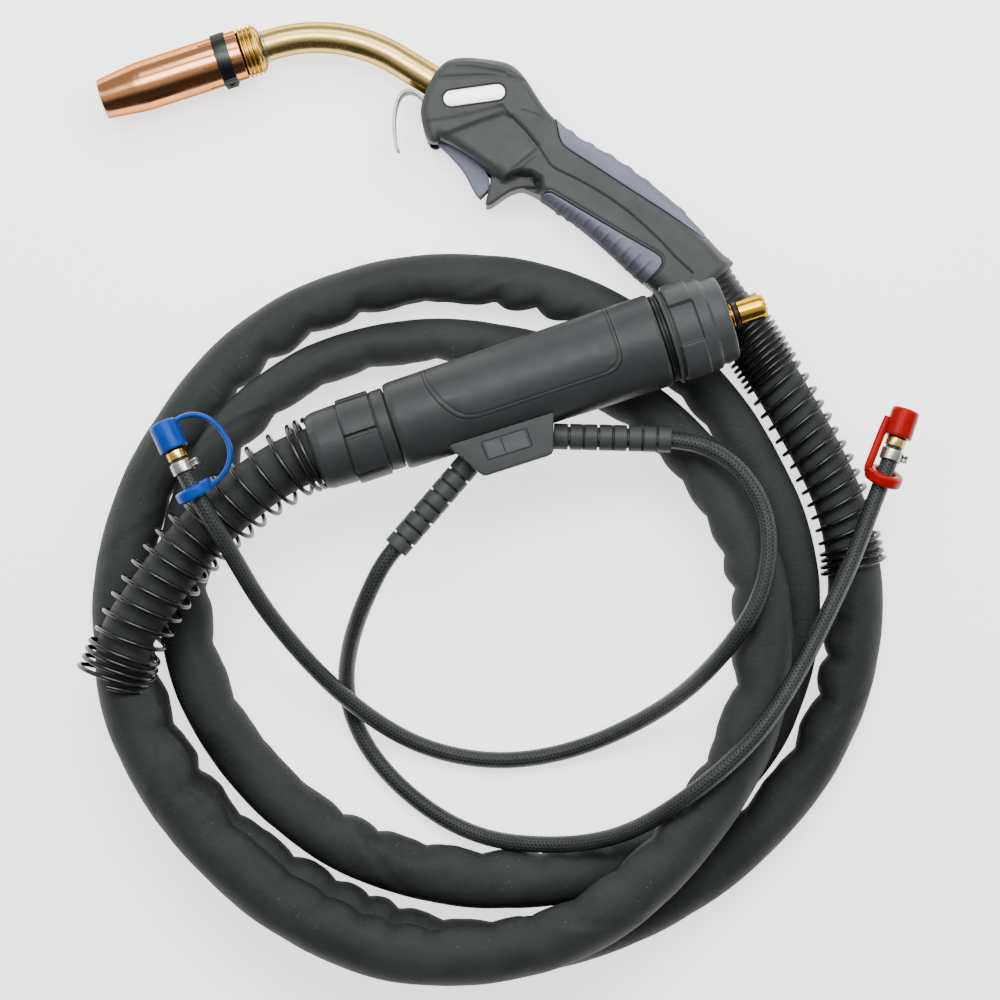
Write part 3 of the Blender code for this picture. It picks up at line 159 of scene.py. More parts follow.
def smooth_curve(route, spacing):
    """Points a spacing apart along a cubic B-spline through the route."""
    rows = np.asarray(route, float)
    rows = np.vstack((2 * rows[0] - rows[1], rows, 2 * rows[-1] - rows[-2]))
    t = np.arange(12)[:, None] / 12
    fine = []
    for i in range(1, len(rows) - 2):
        here = rows[i - 1] * (1 - t) ** 3 + rows[i] * (3 * t ** 3 - 6 * t ** 2 + 4)
        here += rows[i + 1] * (1 + 3 * t + 3 * t ** 2 - 3 * t ** 3) + rows[i + 2] * t ** 3
        fine.append(here / 6)
    fine = np.vstack(fine + [rows[-2:-1]])
    count = max(int(travel(fine)[-1] / spacing), 2)
    return at_distance(fine, np.linspace(0.0, travel(fine)[-1], count + 1))


def closed_curve(outline, corner=(), spacing=0.6):
    """A closed B-spline through an outline; points listed as corners stay nearly sharp."""
    rows = []
    for i, row in enumerate(outline):
        rows += [row] * (3 if i in corner else 1)
    rows = np.asarray(rows, float)
    t = np.arange(10)[:, None] / 10
    fine = []
    for i in range(len(rows)):
        a, b, c, d = (rows[(i + k) % len(rows)] for k in (-1, 0, 1, 2))
        here = a * (1 - t) ** 3 + b * (3 * t ** 3 - 6 * t ** 2 + 4)
        here = here + c * (1 + 3 * t + 3 * t ** 2 - 3 * t ** 3) + d * t ** 3
        fine.append(here / 6)
    fine = np.vstack(fine)
    keep = np.linalg.norm(fine - np.roll(fine, 1, axis=0), axis=1) > 0.02
    fine = fine[keep]
    ring = np.vstack((fine, fine[:1]))
    length = np.concatenate(([0.0], np.cumsum(np.linalg.norm(np.diff(ring, axis=0), axis=1))))
    spots = np.linspace(0.0, length[-1], max(int(length[-1] / spacing), 8), endpoint=False)
    return np.stack([np.interp(spots, length, ring[:, k]) for k in (0, 1)], axis=-1)


def filleted(profile, radius, closed=False, steps=3):
    """A profile with each corner replaced by a short arc."""
    rows = [np.asarray(row, float) for row in profile]
    made = []
    count = len(rows)
    for i, here in enumerate(rows):
        if not closed and i in (0, count - 1):
            made.append(here)
            continue
        before, after = rows[i - 1], rows[(i + 1) % count]
        reach = min(radius, 0.45 * np.linalg.norm(before - here), 0.45 * np.linalg.norm(after - here))
        if reach < 0.02 or here[0] < 0.001:
            made.append(here)
            continue
        start = here + reach * unit(before - here)
        end = here + reach * unit(after - here)
        for j in range(steps + 1):
            t = j / steps
            made.append((1 - t) ** 2 * start + 2 * t * (1 - t) * here + t * t * end)
    return made


def distance_to_line(points, line, closed=False):
    """Distance of points in the plane to a polyline."""
    line = np.asarray(line, float)
    ends = np.roll(line, -1, axis=0) if closed else line[1:]
    starts = line if closed else line[:-1]
    best = np.full(len(points), 1e9)
    for a, b in zip(starts, ends):
        span = b - a
        t = np.clip(((points - a) @ span) / max(span @ span, 1e-9), 0.0, 1.0)
        best = np.minimum(best, np.linalg.norm(points - a - t[:, None] * span, axis=1))
    return best


def inside(points, outline):
    """True for the points in the plane that lie in the outline."""
    outline = np.asarray(outline, float)
    result = np.zeros(len(points), bool)
    x, y = points[:, 0], points[:, 1]
    before = outline[-1]
    for here in outline:
        crosses = (here[1] > y) != (before[1] > y)
        rise = before[1] - here[1]
        rise = rise if abs(rise) > 1e-12 else 1e-12
        result ^= crosses & (x < (before[0] - here[0]) * (y - here[1]) / rise + here[0])
        before = here
    return result


def depth_in(points, outline):
    """Distance inside an outline, negative outside."""
    distance = distance_to_line(points, outline, closed=True)
    return np.where(inside(points, outline), distance, -distance)


def smoothstep(low, high, value):
    t = np.clip((value - low) / (high - low), 0.0, 1.0)
    return t * t * (3 - 2 * t)


# ---------------------------------------------------------------- meshes

def new_object(name, data):
    obj = bpy.data.objects.new(name, data)
    bpy.context.scene.collection.objects.link(obj)
    return obj


def mesh_object(name, verts, faces, uvs=None, sharp=40.0):
    """A mesh from layout points in millimetres, moved into the frame's metres."""
    mesh = bpy.data.meshes.new(name)
    mesh.from_pydata(((np.asarray(verts) + SHIFT) * MM).tolist(), [], faces)
    if uvs is not None:
        layer = mesh.uv_layers.new(name="UVMap")
        layer.data.foreach_set("uv", np.asarray(uvs, np.float32).ravel())
    mesh.shade_smooth()
    if sharp:
        mesh.set_sharp_from_angle(angle=math.radians(sharp))
    return new_object(name, mesh)


def grid_object(name, rows, lengths_u, lengths_v, wrap_rows=False, caps=True, sharp=40.0):
    """A tube of rings: rows is (ring, point round the ring, xyz), with UVs in metres."""
    rings, around = rows.shape[:2]
    index = np.arange(rings * around).reshape(rings, around)
    last = rings if wrap_rows else rings - 1
    faces = []
    uvs = []
    for i in range(last):
        k = (i + 1) % rings
        v0, v1 = lengths_v[i], lengths_v[i + 1]
        for j in range(around):
            m = (j + 1) % around
            faces.append((index[i, j], index[i, m], index[k, m], index[k, j]))
            u0, u1 = lengths_u[j], lengths_u[j + 1]
            uvs += [(u0, v0), (u1, v0), (u1, v1), (u0, v1)]
    if caps and not wrap_rows:
        for ring, v in ((index[0][::-1], lengths_v[0]), (index[-1], lengths_v[-1])):
            faces.append(tuple(ring))
            uvs += [(0.0, v)] * around
    faces = [tuple(int(v) for v in face) for face in faces]
    obj = mesh_object(name, rows.reshape(-1, 3), faces, uvs, sharp)
    return tidy(obj, sharp)


def tidy(obj, sharp=40.0):
    """Welds doubled points and turns the faces outwards."""
    work = bmesh.new()
    work.from_mesh(obj.data)
    bmesh.ops.remove_doubles(work, verts=work.verts, dist=0.000002)
    bmesh.ops.recalc_face_normals(work, faces=work.faces)
    work.to_mesh(obj.data)
    work.free()
    obj.data.shade_smooth()
    if sharp:
        obj.data.set_sharp_from_angle(angle=math.radians(sharp))
    return obj


def frames_along(path):
    """Tangent, level side and upward directions at each point of a path."""
    tangent = unit(np.gradient(path[:, :3], axis=0))
    side = unit(np.cross(tangent, UP))
    return tangent, side, np.cross(side, tangent)


def sweep(name, path, radii, around=24, wide=1.0, tall=1.0, caps=True, sharp=60.0):
    """A tube along a path; angle 0 is upwards, and radii may vary round each ring."""
    path = np.asarray(path, float)
    _, side, up = frames_along(path)
    angle = np.linspace(0.0, 2 * math.pi, around, endpoint=False)
    radii = np.asarray(radii, float)
    if radii.ndim == 1:
        radii = np.repeat(radii[:, None], around, axis=1)
    out = np.cos(angle)[None, :, None] * up[:, None, :] * tall
    out = out + np.sin(angle)[None, :, None] * side[:, None, :] * wide
    rows = path[:, None, :3] + out * radii[..., None]
    lengths_u = np.linspace(0.0, 2 * math.pi * float(radii.mean()) * MM, around + 1)
    return grid_object(name, rows, lengths_u, travel(path) * MM, caps=caps, sharp=sharp)


def directions(axis):
    """Level side and upward directions square to an axis."""
    axis = unit(axis)
    side = unit(np.cross(UP, axis))
    return side, np.cross(axis, side)


def lathe(name, profile, at, axis, around=96, closed=False, fillet=0.3, shape=None, sharp=40.0):
    """A turned piece from (radius, distance) pairs; shape(angle, along, radius) may bend its radius."""
    rows = filleted(profile, fillet, closed)
    table = np.array(rows)
    side, up = directions(axis)
    angle = np.linspace(0.0, 2 * math.pi, around, endpoint=False)
    radius = np.repeat(table[:, :1], around, axis=1)
    along = np.repeat(table[:, 1:2], around, axis=1)
    if shape is not None:
        radius = radius + shape(angle[None, :], along, radius)
    out = np.cos(angle)[None, :, None] * side + np.sin(angle)[None, :, None] * up
    points = np.asarray(at) + along[..., None] * unit(axis) + radius[..., None] * out
    path = np.concatenate(([0.0], np.cumsum(np.linalg.norm(np.diff(table, axis=0), axis=1))))
    path = np.append(path, path[-1] + np.linalg.norm(table[0] - table[-1]))
    lengths_u = np.linspace(0.0, 2 * math.pi * float(table[:, 0].max()) * MM, around + 1)
    return grid_object(name, points, lengths_u, path * MM, wrap_rows=closed, caps=not closed, sharp=sharp)


def slab(name, outline, low, high, rounding=0.0, steps=3):
    """A flat piece: an outline between two heights, its rims rounded."""
    curve = bpy.data.curves.new(name, "CURVE")
    curve.dimensions = "2D"
    curve.fill_mode = "BOTH"
    curve.extrude = (0.5 * (high - low) - rounding) * MM
    curve.bevel_depth = rounding * MM
    curve.bevel_resolution = steps
    curve.offset = -rounding * MM
    spline = curve.splines.new("POLY")
    spline.points.add(len(outline) - 1)
    for point, place in zip(spline.points, outline):
        x, y = (np.asarray(place) + SHIFT[:2]) * MM
        point.co = (x, y, 0.0, 1.0)
    spline.use_cyclic_u = True
    obj = new_object(name, curve)
    obj.location.z = 0.5 * (low + high) * MM
    return tidy(flattened(obj))


def flattened(obj):
    """The object as a plain mesh at the world's origin, with its modifiers applied."""
    bpy.context.view_layer.update()
    graph = bpy.context.evaluated_depsgraph_get()
    mesh = bpy.data.meshes.new_from_object(obj.evaluated_get(graph))
    mesh.transform(obj.matrix_world)
    name = obj.name
    bpy.data.objects.remove(obj, do_unlink=True)
    return new_object(name, mesh)


def block(name, size, at, axis=(1.0, 0.0, 0.0), turn=0.0, bevel=0.0):
    """A bevelled box: its local X runs along the axis, and turn rolls it about that axis."""
    mesh = bpy.data.meshes.new(name)
    work = bmesh.new()
    bmesh.ops.create_cube(work, size=1.0)
    bmesh.ops.scale(work, verts=work.verts, vec=Vector(size) * MM)
    if bevel:
        bmesh.ops.bevel(work, geom=work.edges[:], offset=bevel * MM, segments=3, affect="EDGES", profile=0.5)
    work.to_mesh(mesh)
    work.free()
    side, up = directions(axis)
    basis = Matrix([(*a,) for a in np.stack((unit(axis), side, up), axis=1)]).to_4x4()
    place = Matrix.Translation(Vector((np.asarray(at) + SHIFT) * MM))
    mesh.transform(place @ basis @ Matrix.Rotation(turn, 4, "X"))
    mesh.shade_smooth()
    mesh.set_sharp_from_angle(angle=math.radians(40))
    return new_object(name, mesh)


def boolean(target, tool, operation="DIFFERENCE", keep_tool=False):
    """Applies one boolean at once and removes the cutter."""
    modifier = target.modifiers.new("Cut", "BOOLEAN")
    modifier.operation = operation
    modifier.object = tool
    modifier.solver = "EXACT"
    made = flattened(target)
    if not keep_tool:
        bpy.data.objects.remove(tool, do_unlink=True)
    return made


def softened(obj, width, segments=3, angle=32.0):
    """Rounded edges on a cut shape."""
    modifier = obj.modifiers.new("Round", "BEVEL")
    modifier.width = width * MM
    modifier.segments = segments
    modifier.limit_method = "ANGLE"
    modifier.angle_limit = math.radians(angle)
    modifier.use_clamp_overlap = True
    modifier.harden_normals = False
    made = flattened(obj)
    made.data.shade_smooth()
    made.data.set_sharp_from_angle(angle=math.radians(44))
    return made


def joined(name, objects):
    """Several pieces as one mesh."""
    mesh = bpy.data.meshes.new(name)
    work = bmesh.new()
    for obj in objects:
        work.from_mesh(obj.data)
        bpy.data.objects.remove(obj, do_unlink=True)
    work.to_mesh(mesh)
    work.free()
    mesh.shade_smooth()
    mesh.set_sharp_from_angle(angle=math.radians(44))
    return new_object(name, mesh)


def wire(name, places, thickness, resolution=5):
    """A round wire through layout points."""
    curve = bpy.data.curves.new(name, "CURVE")
    curve.dimensions = "3D"
    curve.bevel_depth = thickness * MM
    curve.bevel_resolution = resolution
    curve.use_fill_caps = True
    spline = curve.splines.new("POLY")
    spline.points.add(len(places) - 1)
    metres = (np.asarray(places) + SHIFT) * MM
    flat = np.hstack((metres, np.ones((len(metres), 1))))
    spline.points.foreach_set("co", flat.ravel())
    spline.use_smooth = True
    return tidy(flattened(new_object(name, curve)), 70.0)


def dress(obj, material, nodes, body="torch_body"):
    """Gives a piece its material, hangs it on its body and hides the CAD nodes it stands for."""
    obj.data.materials.clear()
    obj.data.materials.append(material)
    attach(obj, body)
    if nodes:
        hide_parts(*([nodes] if isinstance(nodes, str) else nodes))
    return obj


# ---------------------------------------------------------------- materials

class Shader:
    """Builds one node material around a Principled shader."""

    def __init__(self, name, roughness=0.5, metallic=0.0):
        self.material = bpy.data.materials.new(name)
        self.material.use_nodes = True
        self.tree = self.material.node_tree
        self.bsdf = self.tree.nodes["Principled BSDF"]
        self.bsdf.inputs["Roughness"].default_value = roughness
        self.bsdf.inputs["Metallic"].default_value = metallic
        self.place = self.node("ShaderNodeTexCoord").outputs["Object"]
        self.uv = None

    def node(self, kind, settings=None, **links):
        made = self.tree.nodes.new(kind)
        for key, value in (settings or {}).items():
            setattr(made, key, value)
        for key, value in links.items():
            socket = made.inputs[int(key[1:])] if key[0] == "n" and key[1:].isdigit() else made.inputs[key]
            self.put(socket, value)
        return made

    def put(self, socket, value):
        if isinstance(value, bpy.types.NodeSocket):
            self.tree.links.new(value, socket)
        elif isinstance(value, tuple) and len(value) == 3 and socket.type == "RGBA":
            socket.default_value = (*value, 1.0)
        else:
            socket.default_value = value

    def uvs(self):
        if self.uv is None:
            self.uv = self.node("ShaderNodeTexCoord").outputs["UV"]
        return self.uv

    def math(self, operation, first, second=0.0, third=0.0):
        made = self.node("ShaderNodeMath", {"operation": operation}, n0=first, n1=second)
        if operation in ("MULTIPLY_ADD", "COMPARE", "SMOOTH_MIN", "SMOOTH_MAX"):
            self.put(made.inputs[2], third)
        return made.outputs[0]

    def noise(self, scale, detail=3.0, roughness=0.55, stretch=None, where=None, distortion=0.0):
        vector = where if where is not None else self.place
        if stretch is not None:
            vector = self.node("ShaderNodeVectorMath", {"operation": "MULTIPLY"}, n0=vector, n1=stretch).outputs[0]
        made = self.node("ShaderNodeTexNoise", None, Vector=vector, Scale=scale, Detail=detail,
                         Roughness=roughness, Distortion=distortion)
        return made.outputs["Fac"]

    def ramp(self, value, stops):
        made = self.node("ShaderNodeValToRGB", None, Fac=value)
        elements = made.color_ramp.elements
        while len(elements) < len(stops):
            elements.new(0.5)
        for element, (position, colour) in zip(elements, stops):
            element.position = position
            element.color = (*colour, 1.0) if isinstance(colour, tuple) else (colour, colour, colour, 1.0)
        return made.outputs["Color"]

    def range(self, value, low, high, to_low=0.0, to_high=1.0):
        made = self.node("ShaderNodeMapRange", None, Value=value)
        for key, number in (("From Min", low), ("From Max", high), ("To Min", to_low), ("To Max", to_high)):
            made.inputs[key].default_value = number
        return made.outputs[0]

    def mix(self, factor, first, second, blend="MIX"):
        made = self.node("ShaderNodeMix", {"data_type": "RGBA", "blend_type": blend})
        self.put(made.inputs[0], factor)
        self.put(made.inputs[6], first)
        self.put(made.inputs[7], second)
        return made.outputs[2]

    def edges(self):
        """Lighter where the surface bulges, darker in its hollows: 0.5 is flat."""
        return self.node("ShaderNodeNewGeometry").outputs["Pointiness"]

    def shaded_sides(self, colour, strength, dark=(0.002, 0.002, 0.002)):
        """Painted shade: the colour, darker where the surface turns down from level and away from the light above; the
        specular level is lowered there too.
        """
        normal = self.node("ShaderNodeNewGeometry").outputs["Normal"]
        level = self.node("ShaderNodeSeparateXYZ", None, Vector=normal).outputs[2]
        self.set(Specular_IOR_Level=self.range(level, 0.0, 0.6, 0.5 - 0.45 * strength, 0.5))
        return self.mix(self.range(level, 0.0, 0.72, strength, 0.0), colour, dark)

    def bump(self, height, strength, distance, under=None):
        made = self.node("ShaderNodeBump", None, Height=height, Strength=strength, Distance=distance)
        if under is not None:
            self.put(made.inputs["Normal"], under)
        return made.outputs["Normal"]

    def rounding(self, radius):
        return self.node("ShaderNodeBevel", {"samples": 4}, Radius=radius).outputs["Normal"]

    def set(self, **values):
        for key, value in values.items():
            self.put(self.bsdf.inputs[key.replace("_", " ")], value)
        return self


def moulded_plastic(name, colour, roughness, grain=0.10, scale=2600.0, wear=0.35, coat=0.0):
    """Moulded plastic with a fine spark-eroded grain, slight mottling and paler worn edges, with painted shade in its
    hollows and on its downturned sides.
    """
    shader = Shader(name, roughness)
    mottled = shader.noise(60.0, 4.0)
    fine = shader.noise(scale, 2.0, 0.6)
    base = shader.mix(shader.range(mottled, 0.3, 0.7), tuple(0.90 * v for v in colour), tuple(1.10 * v for v in colour))
    pointed = shader.edges()
    # Painted shade: the colour is darkened in the hollows of the moulding.
    base = shader.mix(shader.range(pointed, 0.40, 0.485, 0.8, 0.0), base, tuple(0.2 * v for v in colour))
    worn = shader.range(pointed, 0.53, 0.62, 0.0, wear)
    base = shader.mix(worn, base, tuple(min(2.1 * v + 0.02, 1.0) for v in colour))
    dust = shader.range(shader.noise(420.0, 5.0, 0.7), 0.66, 0.8, 0.0, 0.10)
    base = shader.mix(dust, base, (0.25, 0.25, 0.245))
    # Painted shade on the sides that turn down from level.
    base = shader.shaded_sides(base, 0.60)
    rough = shader.range(shader.noise(180.0, 4.0), 0.25, 0.75, roughness - 0.06, roughness + 0.07)
    normal = shader.bump(fine, grain, 0.00012, shader.rounding(0.00035))
    normal = shader.bump(shader.noise(140.0, 2.0), 0.04, 0.0006, normal)
    shader.set(Base_Color=base, Roughness=rough, Normal=normal, Coat_Weight=coat, Coat_Roughness=0.3,
               Specular_Tint=(0.42, 0.42, 0.42))
    return shader.material


def soft_rubber(name, colour, roughness=0.62):
    """Matt thermoplastic grip rubber with a fine grain and dust, with painted shade in its hollows and on its
    downturned sides.
    """
    shader = Shader(name, roughness)
    mottled = shader.noise(45.0, 5.0, 0.6)
    base = shader.mix(shader.range(mottled, 0.3, 0.7), tuple(0.88 * v for v in colour), tuple(1.10 * v for v in colour))
    # Painted shade: the colour is darkened in the hollows of the surface.
    hollow_shade = shader.range(shader.edges(), 0.40, 0.49, 0.45, 0.0)
    base = shader.mix(hollow_shade, base, tuple(0.45 * v for v in colour))
    dust = shader.range(shader.noise(700.0, 4.0, 0.7), 0.62, 0.8, 0.0, 0.16)
    base = shader.mix(dust, base, (0.40, 0.40, 0.42))
    # Painted shade on the sides that turn down from level.
    base = shader.shaded_sides(base, 0.72)
    normal = shader.bump(shader.noise(3200.0, 2.0, 0.6), 0.16, 0.00012, shader.rounding(0.0003))
    shader.set(Base_Color=base, Normal=normal, Specular_Tint=(0.22, 0.22, 0.25))
    return shader.material


def hose_sheath():
    """Matt black leathercloth sheath: fine pebble grain, rubbed patches, dust specks and scuffs, with painted shade on
    its downturned sides.
    """
    shader = Shader("hose_sheath", 0.68)
    uv = shader.uvs()
    broad = shader.noise(16.0, 4.0, 0.55)
    streaks = shader.noise(30.0, 4.0, 0.6, (6.0, 1.0, 1.0), uv)
    base = shader.mix(shader.range(broad, 0.3, 0.7), (0.0138, 0.0158, 0.0153), (0.0305, 0.0350, 0.0334))
    base = shader.mix(shader.range(streaks, 0.50, 0.75, 0.0, 0.35), base, (0.036, 0.041, 0.039))
    rubbed = shader.range(shader.edges(), 0.505, 0.56, 0.0, 0.45)
    base = shader.mix(rubbed, base, (0.050, 0.055, 0.052))
    specks = shader.node("ShaderNodeTexVoronoi", None, Vector=shader.place, Scale=240.0).outputs["Distance"]
    where = shader.range(shader.noise(38.0, 3.0), 0.50, 0.70)
    speck = shader.math("MULTIPLY", shader.range(specks, 0.10, 0.04), where)
    base = shader.mix(shader.math("MULTIPLY", speck, 0.5), base, (0.30, 0.31, 0.30))
    scratches = shader.noise(90.0, 2.0, 0.5, (1.0, 14.0, 1.0), uv, 0.6)
    scuffed = shader.math("MULTIPLY", shader.range(scratches, 0.68, 0.74), where)
    base = shader.mix(shader.math("MULTIPLY", scuffed, 0.30), base, (0.16, 0.17, 0.165))
    # Painted shade on the sides that turn down from level.
    base = shader.shaded_sides(base, 0.60)
    grain = shader.node("ShaderNodeTexVoronoi", None, Vector=shader.place, Scale=1500.0).outputs["Distance"]
    crease = shader.noise(70.0, 4.0, 0.6, (1.0, 3.5, 1.0), uv, 0.8)
    normal = shader.bump(crease, 0.42, 0.0012)
    normal = shader.bump(grain, 0.22, 0.00022, normal)
    rough = shader.range(broad, 0.3, 0.7, 0.58, 0.74)
    shader.set(Base_Color=base, Roughness=rough, Normal=normal,
               Specular_Tint=(0.30, 0.31, 0.31))
    return shader.material


def braided_cover():
    """Black yarn braid: rows of small dark gaps between crossing strands, with a dry sheen, a painted highlight on the
    crowns of the yarn and painted shade on its downturned sides.
    """
    shader = Shader("braided_cover", 0.4)
    parts = shader.node("ShaderNodeSeparateXYZ", None, Vector=shader.uvs())
    turn = shader.math("MULTIPLY", parts.outputs[0], 8.0 / (2 * math.pi * WATER_RADIUS * MM))
    step = shader.math("MULTIPLY", parts.outputs[1], 1.0 / 0.0021)
    first = shader.math("MULTIPLY", shader.math("ADD", step, turn), 2 * math.pi)
    second = shader.math("MULTIPLY", shader.math("SUBTRACT", step, turn), 2 * math.pi)
    wave_a = shader.math("COSINE", first)
    wave_b = shader.math("COSINE", second)
    both = shader.math("ADD", wave_a, wave_b)
    holes = shader.range(both, 0.30, 0.95)
    yarn_a = shader.math("SINE", shader.math("MULTIPLY", first, 3.0))
    yarn_b = shader.math("SINE", shader.math("MULTIPLY", second, 3.0))
    over = shader.range(shader.math("SUBTRACT", wave_a, wave_b), -0.4, 0.4)
    yarn = shader.node("ShaderNodeMix", None)
    yarn.inputs[0].default_value = 0.5
    shader.put(yarn.inputs[0], over)
    shader.put(yarn.inputs[2], yarn_a)
    shader.put(yarn.inputs[3], yarn_b)
    yarn_height = shader.range(yarn.outputs[0], -1.0, 1.0)
    strands = shader.range(both, -2.0, 0.4)
    height = shader.math("SUBTRACT", shader.math("MULTIPLY", yarn_height, 0.25), holes)
    fibres = shader.noise(5200.0, 2.0)
    fade = shader.noise(60.0, 3.0)
    base = shader.mix(strands, (0.005, 0.0055, 0.0055), (0.034, 0.038, 0.038))
    # Painted highlight: the raised crowns of the yarn are made paler.
    base = shader.mix(shader.math("MULTIPLY", yarn_height, 0.35), base, (0.098, 0.107, 0.110))
    base = shader.mix(shader.range(fade, 0.35, 0.7, 0.0, 0.5), base, (0.010, 0.011, 0.012))
    base = shader.mix(holes, base, (0.003, 0.003, 0.003))
    base = shader.mix(shader.range(fibres, 0.4, 0.7, 0.0, 0.25), base, (0.012, 0.012, 0.013))
    # Painted shade on the sides that turn down from level.
    base = shader.shaded_sides(base, 0.75)
    normal = shader.bump(height, 0.7, 0.00035)
    normal = shader.bump(fibres, 0.2, 0.0001, normal)
    shader.set(Base_Color=base, Roughness=shader.range(yarn_height, 0.0, 1.0, 0.42, 0.28), Normal=normal,
               Specular_Tint=(0.48, 0.49, 0.51))
    return shader.material


def turned_metal(name, colour, dark, edge, roughness, rings=0.25, tarnish=0.3, stretch=(20.0, 900.0, 1.0)):
    """Turned or drawn metal: fine rings round the axis, tarnish, fingerprints and small scratches, with painted shade
    in its hollows and on its downturned sides.
    """
    shader = Shader(name, roughness, 1.0)
    uv = shader.uvs()
    lines = shader.noise(4.0, 3.0, 0.6, stretch, uv)
    stain = shader.noise(85.0, 5.0, 0.6)
    base = shader.mix(shader.range(stain, 0.45, 0.75, 0.0, tarnish), colour, dark)
    base = shader.mix(shader.range(lines, 0.3, 0.7, 0.0, 0.18), base, dark)
    # Painted shade: the colour is darkened in the hollows of the turning.
    hollow_shade = shader.range(shader.edges(), 0.38, 0.47, 0.75, 0.0)
    base = shader.mix(hollow_shade, base, tuple(0.25 * v for v in dark))
    # Painted shade on the sides that turn down from level.
    base = shader.shaded_sides(base, 0.62, dark)
    rough = shader.range(stain, 0.3, 0.8, roughness - 0.04, roughness + 0.10)
    normal = shader.bump(lines, rings, 0.00008)
    shader.set(Base_Color=base, Roughness=rough, Normal=normal, Specular_Tint=edge)
    return shader.material


def plain_steel(name, colour, roughness, scratch=0.2, metallic=1.0):
    """Rolled or plated steel with fine scratches and a little grime."""
    shader = Shader(name, roughness, metallic)
    lines = shader.noise(260.0, 4.0, 0.7, (1.0, 9.0, 1.0))
    grime = shader.noise(120.0, 5.0, 0.6)
    base = shader.mix(shader.range(grime, 0.5, 0.8, 0.0, 0.4), colour, tuple(0.35 * v for v in colour))
    rough = shader.range(lines, 0.3, 0.7, roughness - 0.06, roughness + 0.1)
    normal = shader.bump(lines, scratch, 0.00006, shader.rounding(0.00015))
    shader.set(Base_Color=base, Roughness=rough, Normal=normal, Specular_Tint=(0.5, 0.49, 0.47))
    return shader.material


def coated_wire():
    """Black lacquered spring wire, glossy, with thin spots and painted shade on its downturned sides."""
    shader = Shader("black_spring_wire", 0.30)
    worn = shader.noise(160.0, 5.0, 0.65)
    base = shader.mix(shader.range(worn, 0.62, 0.75, 0.0, 0.5), (0.004, 0.004, 0.004), (0.022, 0.022, 0.021))
    # Painted shade on the sides that turn down from level; the specular level drops there too.
    base = shader.shaded_sides(base, 1.0)
    rough = shader.range(worn, 0.3, 0.7, 0.15, 0.28)
    normal = shader.bump(shader.noise(900.0, 3.0), 0.06, 0.0001)
    shader.set(Base_Color=base, Roughness=rough, Normal=normal, Specular_Tint=(0.95, 0.95, 0.95))
    return shader.material


def soft_vinyl(name, colour, deep, gloss):
    """Dip-moulded soft vinyl: glossy, with flow marks and dust."""
    shader = Shader(name, 0.33)
    flow = shader.noise(55.0, 4.0, 0.6)
    base = shader.mix(shader.range(flow, 0.3, 0.75), deep, colour)
    dust = shader.range(shader.noise(600.0, 5.0, 0.7), 0.66, 0.8, 0.0, 0.06)
    base = shader.mix(dust, base, (0.45, 0.46, 0.48))
    # Painted shade on the sides that turn down from level.
    base = shader.shaded_sides(base, 0.45)
    normal = shader.bump(shader.noise(220.0, 3.0), 0.10, 0.0004, shader.rounding(0.0005))
    rough = shader.range(flow, 0.3, 0.7, 0.26, 0.42)
    shader.set(Base_Color=base, Roughness=rough, Normal=normal, Specular_Tint=gloss)
    return shader.material


def satin_foil():
    """Blank satin label foil with hairline brushing."""
    shader = Shader("silver_plate", 0.34, 0.85)
    lines = shader.noise(60.0, 3.0, 0.6, (1.0, 60.0, 1.0))
    base = shader.mix(shader.range(lines, 0.3, 0.7), (0.52, 0.53, 0.52), (0.78, 0.79, 0.77))
    normal = shader.bump(lines, 0.08, 0.00005, shader.rounding(0.00025))
    shader.set(Base_Color=base, Roughness=shader.range(lines, 0.3, 0.7, 0.26, 0.42), Normal=normal)
    return shader.material


HANDLE_PLASTIC = moulded_plastic("handle_plastic", (0.040, 0.0445, 0.043), 0.50, 0.16, 2400.0, 0.25)
PLUG_PLASTIC = moulded_plastic("plug_plastic", (0.027, 0.0305, 0.031), 0.46, 0.07, 3000.0, 0.25)
# Painted light: a lighter copy of the plug plastic for the ring nut, reliefs and water block, standing in for the
# brighter light on them.
LIT_PLUG_PLASTIC = moulded_plastic("nut_plastic", (0.037, 0.041, 0.0415), 0.48, 0.07, 3000.0, 0.25)
BLACK_PLASTIC = moulded_plastic("black_plastic", (0.008, 0.008, 0.009), 0.42, 0.06, 2600.0, 0.2)
LABEL_PLASTIC = moulded_plastic("label_plastic", (0.048, 0.054, 0.056), 0.42, 0.05, 3000.0, 0.3)
GRIP_RUBBER = soft_rubber("grip_rubber", (0.155, 0.163, 0.212), 0.78)
HOSE_SHEATH = hose_sheath()
BRAID = braided_cover()
COPPER = turned_metal("copper_nozzle", (0.76, 0.34, 0.15), (0.36, 0.12, 0.05), (0.52, 0.30, 0.19), 0.17)
COPPER_TIP = turned_metal("copper_tip", (0.64, 0.28, 0.13), (0.30, 0.10, 0.04), (0.5, 0.3, 0.2), 0.35)
BRASS = turned_metal("machined_brass", (0.70, 0.47, 0.14), (0.34, 0.20, 0.05), (0.45, 0.34, 0.16), 0.20, 0.2, 0.15)
PIN_BRASS = turned_metal("pin_brass", (0.80, 0.46, 0.035), (0.36, 0.19, 0.02), (0.6, 0.4, 0.12), 0.17, 0.12)
GOLD = turned_metal("gold_lacquer", (0.70, 0.51, 0.19), (0.36, 0.22, 0.05), (0.42, 0.33, 0.15), 0.24, 0.10, 0.35, (90.0, 14.0, 1.0))
BRIGHT_STEEL = plain_steel("bright_steel", (0.40, 0.385, 0.35), 0.24)
HOOK_STEEL = plain_steel("hook_steel", (0.27, 0.26, 0.235), 0.36)
DARK_STEEL = plain_steel("dark_steel", (0.040, 0.046, 0.044), 0.34)
SPRING_WIRE = coated_wire()
BLUE_VINYL = soft_vinyl("blue_rubber", (0.001, 0.046, 0.33), (0.001, 0.028, 0.22), (0.16, 0.36, 0.75))
